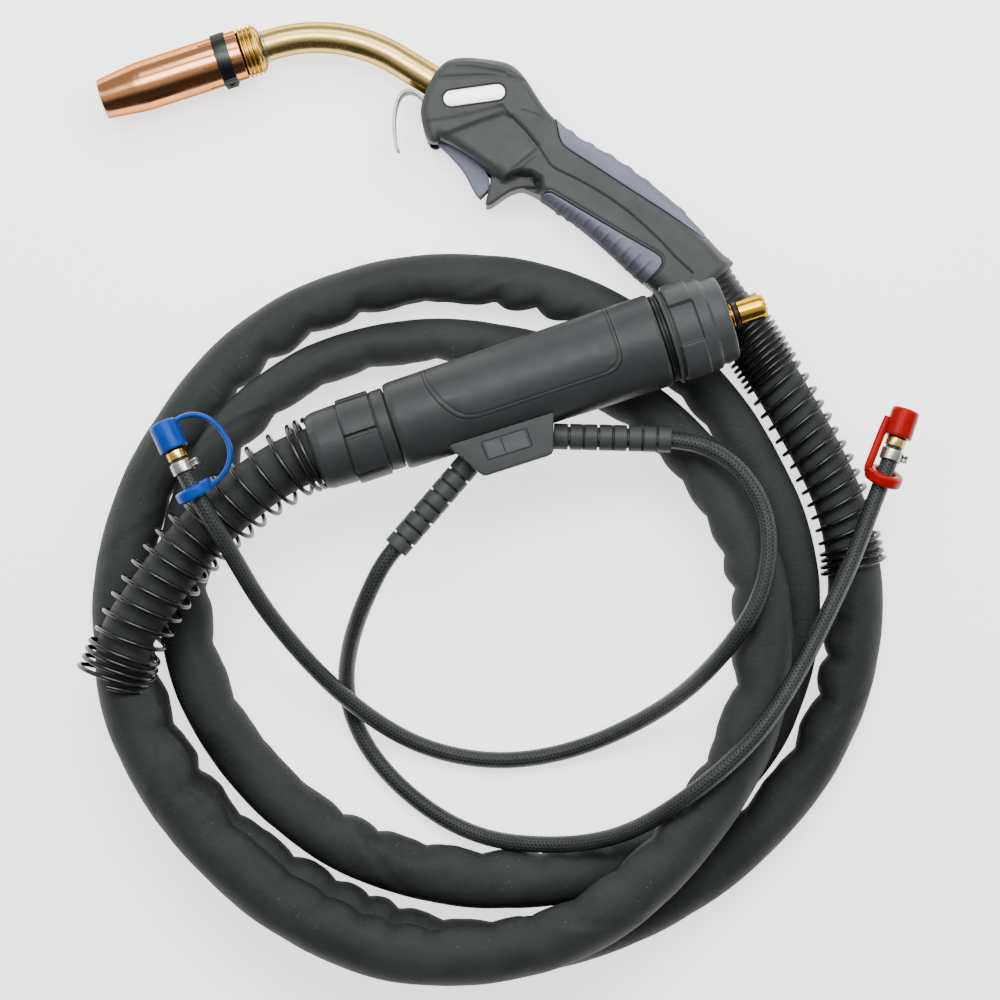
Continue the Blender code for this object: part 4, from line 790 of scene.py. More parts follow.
RED_VINYL = soft_vinyl("red_rubber", (0.34, 0.001, 0.001), (0.23, 0.001, 0.001), (0.75, 0.16, 0.13))
FOIL = satin_foil()


# ---------------------------------------------------------------- camera, floor and light

def studio():
    """Camera straight above, a plain pale floor, and soft light from beyond the handle."""
    camera = bpy.data.objects.new("camera", bpy.data.cameras.new("camera"))
    bpy.context.scene.collection.objects.link(camera)
    camera.location = (0.0441, -0.1731, 1.350)
    camera.data.sensor_width = 36.0
    camera.data.lens = 92.57
    camera.data.clip_start = 0.01
    bpy.context.scene.camera = camera

    mesh = bpy.data.meshes.new("floor")
    reach = 6.0
    corners = [(-reach, -reach, -0.0006), (reach, -reach, -0.0006), (reach, reach, -0.0006), (-reach, reach, -0.0006)]
    mesh.from_pydata(corners, [], [(0, 1, 2, 3)])
    floor = new_object("floor", mesh)
    pale = Shader("floor_white", 0.9)
    pale.set(Base_Color=(0.93, 0.93, 0.93), Specular_IOR_Level=0.1)
    pale.set(Emission_Color=(1.0, 1.0, 1.0), Emission_Strength=1.70)
    mesh.materials.append(pale.material)

    lights = (
        ("key", (0.03, 0.19, 0.85), (0.03, 0.0, 0.0), (0.9, 0.30), 9.6),
        ("far_key", (0.15, 1.05, 1.25), (0.02, -0.05, 0.0), (1.6, 0.55), 17.0),
        ("fill_left", (-1.15, 0.30, 0.95), (0.0, -0.05, 0.0), (0.5, 1.0), 3.2),
        ("fill_right", (1.25, 0.20, 0.95), (0.0, -0.05, 0.0), (0.5, 1.0), 3.2),
    )
    for name, place, target, size, power in lights:
        data = bpy.data.lights.new(name, "AREA")
        data.shape = "RECTANGLE"
        data.size, data.size_y = size
        data.energy = power
        lamp = bpy.data.objects.new(name, data)
        bpy.context.scene.collection.objects.link(lamp)
        lamp.location = place
        lamp.rotation_mode = "QUATERNION"
        lamp.rotation_quaternion = (Vector(target) - Vector(place)).to_track_quat("-Z", "Y")

    world = bpy.data.worlds.new("studio")
    bpy.context.scene.world = world
    world.use_nodes = True
    tree = world.node_tree
    background = tree.nodes["Background"]
    place = tree.nodes.new("ShaderNodeTexCoord")
    parts = tree.nodes.new("ShaderNodeSeparateXYZ")
    tree.links.new(place.outputs["Generated"], parts.inputs[0])
    level = tree.nodes.new("ShaderNodeMapRange")
    level.inputs["From Min"].default_value = -1.0
    tree.links.new(parts.outputs[1], level.inputs["Value"])
    ramp = tree.nodes.new("ShaderNodeValToRGB")
    tree.links.new(level.outputs[0], ramp.inputs[0])
    stops = [(0.0, 0.10), (0.17, 0.05), (0.24, 0.25), (0.30, 0.75), (0.44, 0.85), (0.60, 0.55), (0.80, 0.60),
             (1.0, 0.75)]
    while len(ramp.color_ramp.elements) < len(stops):
        ramp.color_ramp.elements.new(0.5)
    for element, (position, value) in zip(ramp.color_ramp.elements, stops):
        element.position = position
        element.color = (value, value, value, 1.0)
    tree.links.new(ramp.outputs["Color"], background.inputs["Color"])
    background.inputs["Strength"].default_value = 0.8


studio()


# ---------------------------------------------------------------- main hose and springs

HOSE = smooth_curve(HOSE_ROUTE, 2.2)
HOSE_TOTAL = travel(HOSE)
HOSE_LENGTH = float(HOSE_TOTAL[-1])


def uneven(values, seed):
    """A slowly varying number between -1 and 1 along a line of values, the same in every run."""
    steps = ((1.00, 1.3, 0.45), (1.83, 4.1, 0.30), (3.17, 2.2, 0.17), (5.21, 0.7, 0.08))
    return sum(weight * np.sin(values * rate + phase + 1.7 * seed) for rate, phase, weight in steps)


def main_hose():
    """The sheathed hose package: smooth outside the bends, rucked up on their inside."""
    around = 56
    tangent, side, up = frames_along(HOSE)
    window = 13
    bend = np.gradient(tangent, axis=0)
    weights = np.hanning(2 * window + 1)
    weights = weights / weights.sum()
    bend = np.stack([np.convolve(bend[:, k], weights, mode="same") for k in range(3)], axis=-1)
    tight = np.linalg.norm(bend, axis=1)
    inward = bend / np.maximum(tight, 1e-9)[:, None]
    angle = np.linspace(0.0, 2 * math.pi, around, endpoint=False)
    out = np.cos(angle)[None, :, None] * up[:, None] + np.sin(angle)[None, :, None] * side[:, None]
    facing = np.einsum("ijk,ik->ij", out, inward)
    s = HOSE_TOTAL[:, None]
    theta = angle[None, :]

    sleeved = smoothstep(190.0, 215.0, s) * (1 - smoothstep(HOSE_LENGTH - 220.0, HOSE_LENGTH - 195.0, s))
    rucks = np.clip(facing, 0.0, 1.0) ** 1.25
    swell = np.clip(0.85 + 0.85 * uneven(s / 66.0, 2.0), 0.15, 1.7)
    lobes = np.abs(np.sin(s / 8.6 + 2.1 * uneven(s / 53.0, 1.0) + 0.25 * facing)) ** 0.8
    ripple = 1.9 * lobes - 1.25 + 0.30 * uneven(s / 6.3, 0.0)
    radius = np.repeat(HOSE[:, 3:4], around, axis=1)
    radius = radius + sleeved * rucks * (1.7 * swell * ripple - 0.3)
    outer = np.clip(-facing, 0.0, 1.0)
    radius = radius + sleeved * outer * 0.25 * uneven(s / 31.0, 5.0)
    lumps = uneven(s / 13.0 + 1.3 * np.sin(theta + 0.7), 3.0) * np.sin(theta * 2 + s / 37.0)
    radius = radius + (0.20 + 0.22 * sleeved) * lumps
    # Long slack folds that run aslant over the top, where the sheath has been twisted.
    for start, lean, depth in ((262, 1.0, 0.5), (540, 0.9, 0.45), (812, 0.7, 0.5), (1064, -0.9, 0.6),
                               (1330, -1.2, 0.55), (1610, 0.8, 0.6), (1890, 1.1, 0.6), (2150, 1.0, 0.6),
                               (2430, 0.9, 0.6), (2690, 0.8, 0.5)):
        level = np.where(theta > math.pi, theta - 2 * math.pi, theta)
        off = s - start - lean * 24.0 * level
        near = np.exp(-(level / 1.25) ** 2)
        radius = radius - sleeved * near * 0.8 * depth * np.exp(-(off / 4.0) ** 2)
        radius = radius + sleeved * near * 0.6 * depth * np.exp(-((off - 8.0) / 5.5) ** 2)
    # Sewn seam of the sheath, a low double ridge that wanders slowly round.
    seam = 2.2 + 0.9 * np.sin(s / 260.0)
    turn = np.angle(np.exp(1j * (theta - seam)))
    radius = radius + sleeved * 0.55 * np.exp(-(turn * HOSE[:, 3:4] / 1.3) ** 2)
    hose = sweep("hose_sheath_tube", HOSE, radius, around, sharp=0)
    places = np.empty(len(hose.data.vertices) * 3)
    hose.data.vertices.foreach_get("co", places)
    places[2::3] = np.maximum(places[2::3], 0.00002)
    hose.data.vertices.foreach_set("co", places)
    return dress(hose, HOSE_SHEATH, "main_hose")


def coil_places(points, start, end, runs, per_turn, lean=0.0):
    """Points of a wire wound round a line: runs are (turns, share of length, first and last radius)."""
    total = travel(points)
    shares = sum(run[1] for run in runs)
    along, angles, reach = [], [], []
    turns_before, share_before = 0.0, 0.0
    for turns, share, first, last in runs:
        steps = round(turns * per_turn)
        part = np.arange(steps) / steps
        along.append(start + (end - start) * (share_before + share * part) / shares)
        angles.append(2 * math.pi * (turns_before + turns * part))
        reach.append(first + (last - first) * part)
        turns_before += turns
        share_before += share
    along = np.concatenate(along + [[end]])
    angles = np.concatenate(angles + [[2 * math.pi * turns_before]])
    reach = np.concatenate(reach + [[runs[-1][3]]])
    here = at_distance(points, along)[:, :3]
    ahead = at_distance(points, np.minimum(along + 4.0, total[-1]))[:, :3]
    behind = at_distance(points, np.maximum(along - 4.0, 0.0))[:, :3]
    tangent = unit(ahead - behind)
    cosine, sine = math.cos(lean), math.sin(lean)
    tangent = np.stack((cosine * tangent[:, 0] - sine * tangent[:, 1],
                        sine * tangent[:, 0] + cosine * tangent[:, 1], tangent[:, 2]), axis=1)
    side = unit(np.cross(tangent, UP))
    up = np.cross(side, tangent)
    uneven_reach = reach * (1.0 + 0.012 * np.sin(0.37 * angles) + 0.008 * np.sin(0.143 * angles + 1.0))
    return here + uneven_reach[:, None] * (np.cos(angles)[:, None] * up + np.sin(angles)[:, None] * side)


# The plug's spring keeps its own gentler bend, so its last turns stand off beside the hose.
PLUG_COIL_ROUTE = [
    (-154.6, -262.5, 51.3), (-153.4, -258.0, 51.6), (-150.6, -251.5, 52.0), (-142.4, -232.5, 53.0),
    (-131.8, -214.3, 53.8), (-122.0, -200.2, 54.4), (-110.4, -186.6, 55.4), (-90.6, -169.2, 57.4),
    (-73.4, -156.2, 59.8), (-56.0, -147.6, 61.6), (-50.5, -145.6, 62.0),
]


def boot_springs():
    """Wound wire bend protectors at both ends of the hose."""
    places = coil_places(HOSE, *HANDLE_BOOT, [(12.4, 40, 15.5, 15.5), (12.5, 97, 15.5, 15.6), (3.6, 13, 15.8, 16.4)],
                         36, math.radians(6.0))
    handle_end = dress(wire("boot_spring_handle", places, 1.05), SPRING_WIRE, "handle_boot_spring")
    line = smooth_curve(PLUG_COIL_ROUTE, 1.0)
    places = coil_places(line, 1.0, travel(line)[-1] - 0.5,
                         [(4.2, 17, 18.4, 18.2), (11.0, 95, 17.9, 17.7), (3.4, 36, 17.7, 17.8), (2.2, 8, 17.8, 18.0)], 40)
    plug_end = dress(wire("boot_spring_plug", places, 1.2), SPRING_WIRE, "plug_boot_spring")
    return handle_end, plug_end


MAIN_HOSE = main_hose()
HANDLE_SPRING, PLUG_SPRING = boot_springs()


# ---------------------------------------------------------------- water hoses, reliefs and caps

def water_line(colour_name, route, at, axis, relief, vinyl, turn, tether, ring_back, tilt):
    """A braided hose with its ribbed relief, nipple, ear clamp and tethered dust cap."""
    line = smooth_curve(route, 1.4)
    hose = sweep(f"braided_hose_{colour_name}", line, np.full(len(line), WATER_RADIUS), 28)
    dress(hose, BRAID, f"water_hose_{colour_name}")

    profile = [(WATER_RADIUS + 0.4, relief), (6.2, relief)]
    segments = 8
    pitch = relief / segments
    for i in range(segments):
        high = relief - i * pitch
        profile += [(6.5, high - 0.15), (6.6, high - 0.9), (6.6, high - pitch + 1.0)]
        if i < segments - 1:
            profile += [(5.0, high - pitch + 0.85), (5.0, high - pitch + 0.05)]
    profile += [(6.6, 0.2), (WATER_RADIUS + 0.4, 0.2)]

    def bridges(angle, along, radius):
        """Webs that join the rings on alternate sides across each gap."""
        count = np.floor((relief - along) / pitch + 0.5)
        middle = np.where(count % 2 == 0, 0.0, math.pi / 2)
        near = np.minimum(np.abs(np.angle(np.exp(1j * 2 * (angle - middle)))) / 2, math.pi)
        return np.where((radius < 5.3) & (radius > 4.8) & (near < 0.30), 1.5, 0.0)

    relief_piece = lathe(f"bend_relief_{colour_name}", profile, at, unit(axis), 64, closed=True, fillet=0.35,
                         shape=bridges, sharp=50)
    relief_piece.data.flip_normals()
    dress(relief_piece, LIT_PLUG_PLASTIC, f"strain_relief_{colour_name}")

    end = line[-1]
    out = unit(line[-1] - line[-4])
    nipple = lathe(f"hose_tail_{colour_name}",
                   [(0.0, 4.0), (2.0, 4.0), (2.0, 16.0), (3.6, 16.0), (4.5, 15.0), (4.2, 12.4), (4.5, 12.0),
                    (4.2, 9.4), (4.5, 9.0), (4.5, 5.2), (5.0, 4.6), (5.0, 0.3), (0.0, 0.3)], end, out, 64)
    dress(nipple, BRASS, f"nipple_{colour_name}")

    side = unit(np.cross(out, UP))
    band = lathe(f"clamp_band_{colour_name}", [(4.75, -1.2), (5.45, -1.2), (5.7, -1.6), (5.7, -6.8), (5.45, -7.2),
                 (4.75, -7.2)], end, out, 64, closed=True, fillet=0.2)
    ear = lathe(f"ear_{colour_name}", [(0.0, 1.9), (1.9, 1.9), (2.1, 1.2), (1.5, 0.0), (2.1, -1.2), (1.9, -1.9),
                (0.0, -1.9)], end - out * 4.2 + side * 6.9, out, 32)
    clamp = joined(f"ear_clamp_{colour_name}", [band, ear])
    dress(clamp, BRIGHT_STEEL, f"hose_clamp_{colour_name}")

    low, high = 5.4, 20.4
    cap = lathe(f"dust_cap_{colour_name}",
                [(0.0, high), (6.1, high), (7.0, high - 0.7), (7.25, high - 2.2), (7.3, low + 1.0), (7.1, low),
                 (4.9, low), (4.9, 16.6), (0.0, 16.6)], end, out, 72, fillet=0.8)
    dress(cap, vinyl, f"cap_{colour_name}", f"cap_{colour_name}")

    here = at_distance(line, [travel(line)[-1] - ring_back])[0]
    ahead = at_distance(line, [travel(line)[-1] - ring_back + 6.0])[0]
    lean = turn * side
    facing = unit(unit(ahead - here) * math.cos(tilt) + UP * math.sin(tilt))
    ring = lathe(f"tether_ring_{colour_name}", [(5.2, 2.2), (6.0, 3.1), (8.8, 3.1), (9.8, 2.1), (9.8, -2.1),
                 (8.8, -3.1), (6.0, -3.1), (5.2, -2.2)], here, facing, 64, closed=True, fillet=0.9)
    loop = smooth_curve([tuple(end + out * a + lean * b + UP * c) for a, b, c in tether["route"]], 0.8)
    arc = sweep(f"tether_arc_{colour_name}", loop, np.full(len(loop), 2.0), 24, wide=tether["wide"],
                tall=tether["tall"])
    strap = joined(f"cap_tether_{colour_name}", [ring, arc])
    strap.data.materials.clear()
    strap.data.materials.append(vinyl)
    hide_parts(f"cap_strap_{colour_name}")
    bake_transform(strap)
    return {"line": line, "hose": hose, "pieces": [relief_piece, nipple, clamp, cap, strap]}


BLUE_TETHER = {"wide": 0.72, "tall": 1.15, "route": [
    (18.2, 6.2, 0.0), (19.0, 9.6, 0.0), (18.2, 15.2, 0.0), (14.4, 20.8, 0.0), (6.8, 25.2, 0.0), (-3.6, 26.3, 0.0),
    (-12.0, 22.8, 0.0), (-17.4, 15.2, 0.2), (-18.6, 7.4, 0.4)]}
RED_TETHER = {"wide": 1.05, "tall": 0.62, "route": [
    (14.0, 7.4, 0.0), (8.0, 8.2, 0.0), (0.0, 8.6, 0.4), (-8.0, 9.0, 0.8), (-13.5, 9.4, 0.6), (-16.0, 8.6, 0.0)]}
BLUE = water_line("blue", BLUE_ROUTE, BLUE_START, BLUE_DIRECTION, BLUE_RELIEF, BLUE_VINYL, 1.0, BLUE_TETHER, 17.5,
                  math.radians(5.0))
RED = water_line("red", RED_ROUTE, RED_START, RED_DIRECTION, RED_RELIEF, RED_VINYL, -1.0, RED_TETHER, 16.0,
                 math.radians(22.0))


# ---------------------------------------------------------------- handle

SHELL_OUTLINE = [
    (-0.3, 28.8), (2.0, 38.3), (6.0, 46.7), (10.1, 52.6), (15.3, 57.0), (28.0, 57.5), (41.1, 56.4),
    (47.3, 53.9), (53.3, 48.4), (58.9, 39.2), (63.0, 32.6), (67.7, 27.0), (77.0, 18.1), (87.4, 12.1),
    (100.2, 6.0), (109.5, -0.3), (119.3, -7.0), (129.1, -14.8), (137.4, -23.0), (147.3, -33.9),
    (155.4, -42.9), (160.6, -45.7), (161.9, -47.7), (160.0, -49.9), (137.4, -70.7), (128.1, -67.5), (118.3, -60.3), (103.3, -46.3),
    (92.9, -36.5), (80.0, -25.6), (67.0, -16.8), (56.7, -10.1), (45.0, -7.4), (37.5, -7.0),
    (36.0, -2.3), (30.3, 3.4), (20.4, 10.6), (10.5, 15.5), (9.1, 12.7), (4.4, 13.7), (2.3, 19.4),
]
SPUR_OUTLINE = [
    (36.6, -3.2), (35.9, -7.6), (34.4, -13.8), (33.2, -17.6), (35.0, -18.9), (39.1, -16.3),
    (45.3, -11.6), (51.5, -9.1), (60.0, -9.5), (58.0, -4.0),
]
SPUR_FIELD = [
    (34.5, -8.5), (37.5, -9.3), (41.0, -7.4), (44.0, -4.8), (47.5, -3.0), (52.0, -2.3), (57.0, -2.8), (61.5, -5.5),
    (62.0, -10.0), (60.0, -14.0), (45.0, -24.0), (30.0, -24.0),
]
ROUNDING_AXIS = [
    (-12.0, 37.0, 32.0), (15.0, 36.0, 29.0), (40.0, 28.0, 31.0), (60.0, 12.0, 28.0),
    (78.0, -1.0, 24.0), (98.1, -16.8, 23.0), (118.8, -33.9, 23.0), (136.9, -50.5, 22.5),
    (160.0, -72.0, 21.0),
]
# Lines and fields pressed into the moulding, as seen from above.
SEAM = [(47, 26), (54, 19), (61, 10.5), (64, 5.5), (67, 1), (71, -1.5), (79.5, -5.5), (89.5, -11), (97.5, -16),
        (106.5, -22.5), (115, -30), (123.5, -38), (130.5, -45.8), (139.5, -54)]
UPPER_STEP = [(-2, 24), (16, 26.5), (31, 30), (42.5, 33), (47, 26.5), (54, 19), (61, 10.5), (57, 6), (46, -2.5),
              (38, -9), (30, 2), (18, 10), (9, 14), (2, 12), (-2, 16)]
DISH = [(8, 16.5), (28.5, 24.5), (42.5, 29.2), (48.8, 27.4), (55.8, 20.2), (62.6, 11.4), (57.5, 6.0), (46, -3), (38.5, -9),
        (33, -7), (30, 2), (20, 9.5), (9, 13)]
BROW = [(38.5, -9), (46, -3.2), (51, 0.8), (57, 6.5)]
UPPER_CREASE = [(52.5, 30.5), (59, 28.5), (65.5, 25.5)]
FLUTES = [
    [(9.5, 46.0), (24.0, 46.6), (41.5, 47.4), (54.5, 44.0)],
    [(14.0, 51.8), (26.0, 51.4), (43.5, 48.4)],
    [(16.0, 55.6), (32.0, 55.6), (47.0, 51.5), (54.5, 47.0)],
]
BACK_PAD_INNER = [(69.6, 25.5), (70.6, 20.5), (71.4, 16.0), (73.2, 12.0), (77.0, 9.0), (92.0, -0.6),
                  (102.6, -7.6), (123.0, -20.5), (137.0, -29.8), (145.5, -35.6)]
FRONT_PAD_INNER = [(61.6, -14.6), (63.0, -13.4), (65.0, -12.4), (67.5, -12.6), (80.0, -20.0), (92.4, -27.4),
                   (106.5, -35.6), (120.0, -43.2), (123.2, -45.6), (124.0, -48.4), (122.4, -51.6),
                   (118.5, -55.6), (116.6, -57.6)]
RIB_LINES = [
    ((67.4, -19.2), (69.6, -17.2)), ((72.6, -22.6), (75.4, -19.8)), ((77.6, -26.0), (80.8, -22.8)),
    ((82.6, -29.6), (86.2, -25.8)), ((87.4, -33.4), (91.4, -29.2)), ((92.2, -37.4), (96.8, -32.6)),
    ((96.8, -41.6), (101.8, -36.2)), ((101.4, -46.0), (107.0, -40.0)), ((106.0, -50.4), (112.2, -43.6)),
    ((110.4, -54.6), (117.4, -47.2)),
]
TRIGGER_OUTLINE = [
    (10.4, 13.4), (18.4, 5.6), (23.6, -1.3), (26.6, -8.0), (29.2, -12.4), (31.2, -13.8), (35.5, -9.5),
    (35.9, -6.8), (35.4, -1.4), (28.7, 7.0), (19.4, 14.2), (14.0, 19.5), (10.5, 22.0), (6.6, 20.8),
    (6.0, 16.8),
]
TRIGGER_SLOT = [
    (9.6, 8.0), (18.0, 0.0), (30.0, -9.5), (37.6, -8.6), (38.0, -2.0), (40.5, 3.0), (34.0, 11.0),
    (24.0, 19.0), (16.0, 24.0), (8.0, 24.6), (3.9, 21.6), (5.2, 13.2),
]
BADGE_AT = (28.0, 37.0)
BADGE_ANGLE = math.radians(8.0)
SCREW_PLACES = [(24.0, 50.0), (62.0, 12.0), (104.0, -20.0)]

SHELL_CURVE = closed_curve(SHELL_OUTLINE, corner=(24, 33, 37), spacing=0.8)
SPUR_CURVE = closed_curve(SPUR_OUTLINE, corner=(0, 8, 9), spacing=0.8)


def roundoff(depth, radius):
    """How far a rim of that radius has dropped, at a distance in from the edge."""
    t = 1.0 - np.clip(depth / radius, 0.0, 1.0)
    return radius * (1.0 - np.sqrt(np.maximum(1.0 - t * t, 0.0)))


def smaller(first, second, blend):
    """The smaller of two heights, with a soft corner between them."""
    gap = np.maximum(blend - np.abs(first - second), 0.0)
    return np.minimum(first, second) - gap * gap / (4 * blend)


def larger(first, second, blend):
    """The larger of two heights, with a soft corner between them."""
    gap = np.maximum(blend - np.abs(first - second), 0.0)
    return np.maximum(first, second) + gap * gap / (4 * blend)


def grip_height(plan):
    """Half the handle's thickness over each point of its plan, before any detail."""
    best = np.zeros(len(plan))
    axis = np.asarray(ROUNDING_AXIS, float)
    for a, b in zip(axis, axis[1:]):
        span = b[:2] - a[:2]
        t = np.clip(((plan - a[:2]) @ span) / (span @ span), 0.0, 1.0)
        radius = a[2] + t * (b[2] - a[2])
        away = np.linalg.norm(plan - a[:2] - t[:, None] * span, axis=1)
        best = larger(best, np.sqrt(np.maximum(radius ** 2 - away ** 2, 0.0)), 3.0)
    return smaller(best, np.full(len(plan), 19.0), 3.0)


def stadium(centre, length, width, angle, steps=14):
    """A plate outline with round ends."""
    radius = 0.5 * width
    reach = 0.5 * length - radius
    turns = np.linspace(-0.5 * math.pi, 0.5 * math.pi, steps)
    right = np.stack((reach + radius * np.cos(turns), radius * np.sin(turns)), axis=1)
    shape = np.vstack((right, -right))
    turn = np.array(((math.cos(angle), math.sin(angle)), (-math.sin(angle), math.cos(angle))))
    return shape @ turn + np.asarray(centre)


def outline_between(start, end, proud, bumps=(), swell=0.0, width=2.0):
    """The stretch of the handle's edge nearest to two points, moved outwards, with bumps on it."""
    curve = SHELL_CURVE
    i = int(np.argmin(np.linalg.norm(curve - start, axis=1)))
    j = int(np.argmin(np.linalg.norm(curve - end, axis=1)))
    count = len(curve)
    stretch = curve[[k % count for k in range(i, j + 1 if j > i else j + count + 1)]]
    normal = unit(np.gradient(stretch, axis=0))[:, ::-1] * (-1.0, 1.0)
    if inside(stretch[len(stretch) // 2:len(stretch) // 2 + 1] + normal[len(stretch) // 2] * 1.5, curve)[0]:
        normal = -normal
    lift = np.full(len(stretch), proud)
    for bump in bumps:
        lift = lift + swell * np.exp(-(np.linalg.norm(stretch - bump, axis=1) / width) ** 4)
    return stretch + normal * lift[:, None]


def carved(name, pieces, height, voxel):
    """A flat body remeshed finely, whose half thickness then follows a height over its plan."""
    half = 8.0
    base = slab(name, pieces[0], HANDLE_MID - half, HANDLE_MID + half)
    for k, outline in enumerate(pieces[1:]):
        extra = slab(f"{name}_{k}", outline, HANDLE_MID - half, HANDLE_MID + half)
        base = boolean(base, extra, "UNION")
    remesh = base.modifiers.new("Fine", "REMESH")
    remesh.mode = "VOXEL"
    remesh.voxel_size = voxel * MM
    obj = flattened(base)
    mesh = obj.data
    places = np.empty(len(mesh.vertices) * 3)
    mesh.vertices.foreach_get("co", places)
    places = places.reshape(-1, 3) / MM - SHIFT
    level = np.clip((places[:, 2] - HANDLE_MID) / half, -1.0, 1.0)
    places[:, 2] = HANDLE_MID + level * height(places[:, :2], level)
    mesh.vertices.foreach_set("co", ((places + SHIFT) * MM).ravel())
    mesh.update()
    return obj


def split(obj, level, upper):
    """The part of a closed mesh above or below a level, closed again."""
    copy = new_object(obj.name + ("_upper" if upper else "_lower"), obj.data.copy())
    work = bmesh.new()
    work.from_mesh(copy.data)
    cut = bmesh.ops.bisect_plane(work, geom=work.verts[:] + work.edges[:] + work.faces[:], dist=1e-7,
                                 plane_co=(0.0, 0.0, level * MM), plane_no=(0.0, 0.0, 1.0),
                                 clear_inner=upper, clear_outer=not upper)
    edges = [e for e in cut["geom_cut"] if isinstance(e, bmesh.types.BMEdge)]
    bmesh.ops.holes_fill(work, edges=edges, sides=0)
    bmesh.ops.recalc_face_normals(work, faces=work.faces)
    work.to_mesh(copy.data)
    work.free()
    copy.data.shade_smooth()
    copy.data.set_sharp_from_angle(angle=math.radians(42))
    return copy


BACK_BUMPS = [(78.5, 19.5), (88.0, 13.5), (98.0, 7.5), (107.5, 1.5), (117.0, -5.0), (135.0, -20.5)]
BACK_EDGE = outline_between((69.6, 26.4), (146.5, -33.0), 0.7, BACK_BUMPS, 1.0, 2.6)
BACK_PAD = np.vstack((BACK_EDGE, np.asarray(BACK_PAD_INNER)[::-1]))
FRONT_TEETH = [(71.5 + 4.3 * i, -20.2 - 3.85 * i) for i in range(11)]
FRONT_EDGE = outline_between((114.5, -57.0), (62.0, -13.6), 0.5, FRONT_TEETH, 1.0, 1.5)
FRONT_PAD = np.vstack((FRONT_EDGE, np.asarray(FRONT_PAD_INNER)))


def shell_height(plan, level):
    """Half thickness of the plastic shells, with every moulded line and field."""
    height = grip_height(plan)
    in_spur = depth_in(plan, SPUR_CURVE)
    depth = np.maximum(np.maximum(depth_in(plan, SHELL_CURVE), in_spur), 0.0)
    height = height - roundoff(depth, 5.0)
    height = height - 0.45 * smoothstep(-0.5, 2.2, depth_in(plan, UPPER_STEP))
    height = height - 0.9 * smoothstep(-0.4, 2.4, depth_in(plan, DISH))
    hollow = ((plan[:, 0] - 30.0) / 15.0) ** 2 + ((plan[:, 1] - 12.0) / 15.0) ** 2
    height = height - 1.0 * smoothstep(-0.3, 3.0, depth_in(plan, DISH)) * np.exp(-hollow)
    seam = distance_to_line(plan, SEAM)
    height = height - 0.95 * np.exp(-(seam / 0.5) ** 2)
    below = depth_in(plan, SEAM + [(137, -72), (100, -90), (-40, -60), (-40, 20), (16, 26.5), (31, 30), (42.5, 33)])
    height = height - 0.55 * smoothstep(-0.2, 0.8, below) * (1 - smoothstep(4.0, 13.0, seam))
    height = height + 0.6 * np.exp(-(distance_to_line(plan, BROW) / 1.6) ** 2)
    height = height + 0.35 * np.exp(-(distance_to_line(plan, UPPER_CREASE) / 0.5) ** 2)
    for flute in FLUTES:
        height = height - 0.55 * np.exp(-(distance_to_line(plan, flute) / 0.9) ** 2)
    for pad in (BACK_PAD, FRONT_PAD):
        inner = depth_in(plan, pad)
        height = height - 1.3 * smoothstep(-0.45, 0.0, inner)
    outer_line = distance_to_line(plan, FRONT_PAD_INNER)
    beyond = depth_in(plan, FRONT_PAD) < -0.5
    height = height - np.where(beyond, 0.55 * np.exp(-((outer_line - 1.35) / 0.35) ** 2), 0.0)
    # The thin spur below the trigger, and the hollow behind it.
    spur = smoothstep(-2.6, 2.6, depth_in(plan, SPUR_FIELD))
    low = 11.5 - roundoff(np.maximum(in_spur, 0.0), 1.6)
    height = np.maximum(height * (1 - spur) + smaller(height, low, 1.0) * spur, low * smoothstep(-0.6, 0.0, in_spur))
    badge = depth_in(plan, stadium(BADGE_AT, 32.8, 9.2, BADGE_ANGLE))
    height = height - np.where(level > 0, 1.0 * smoothstep(-0.3, 0.1, badge), 0.0)
    for x, y in SCREW_PLACES:
        hole = np.linalg.norm(plan - (x, y), axis=1)
        height = height - np.where(level < 0, 2.4 * (1 - smoothstep(2.9, 3.2, hole)), 0.0)
    return np.maximum(height, 1.5)


def pad_height(outer, inner, ribs=()):
    """Half thickness of a grip pad that wraps over the handle's edge."""
    def height(plan, level):
        made = grip_height(plan) + 0.25
        made = made - roundoff(distance_to_line(plan, outer), 6.0)
        made = made - roundoff(distance_to_line(plan, inner), 0.9)
        for low, high in np.asarray(ribs, float).reshape(-1, 2, 2):
            made = made + 0.8 * np.exp(-(distance_to_line(plan, (2 * low - high, high)) / 0.9) ** 2)
        return made
    return height


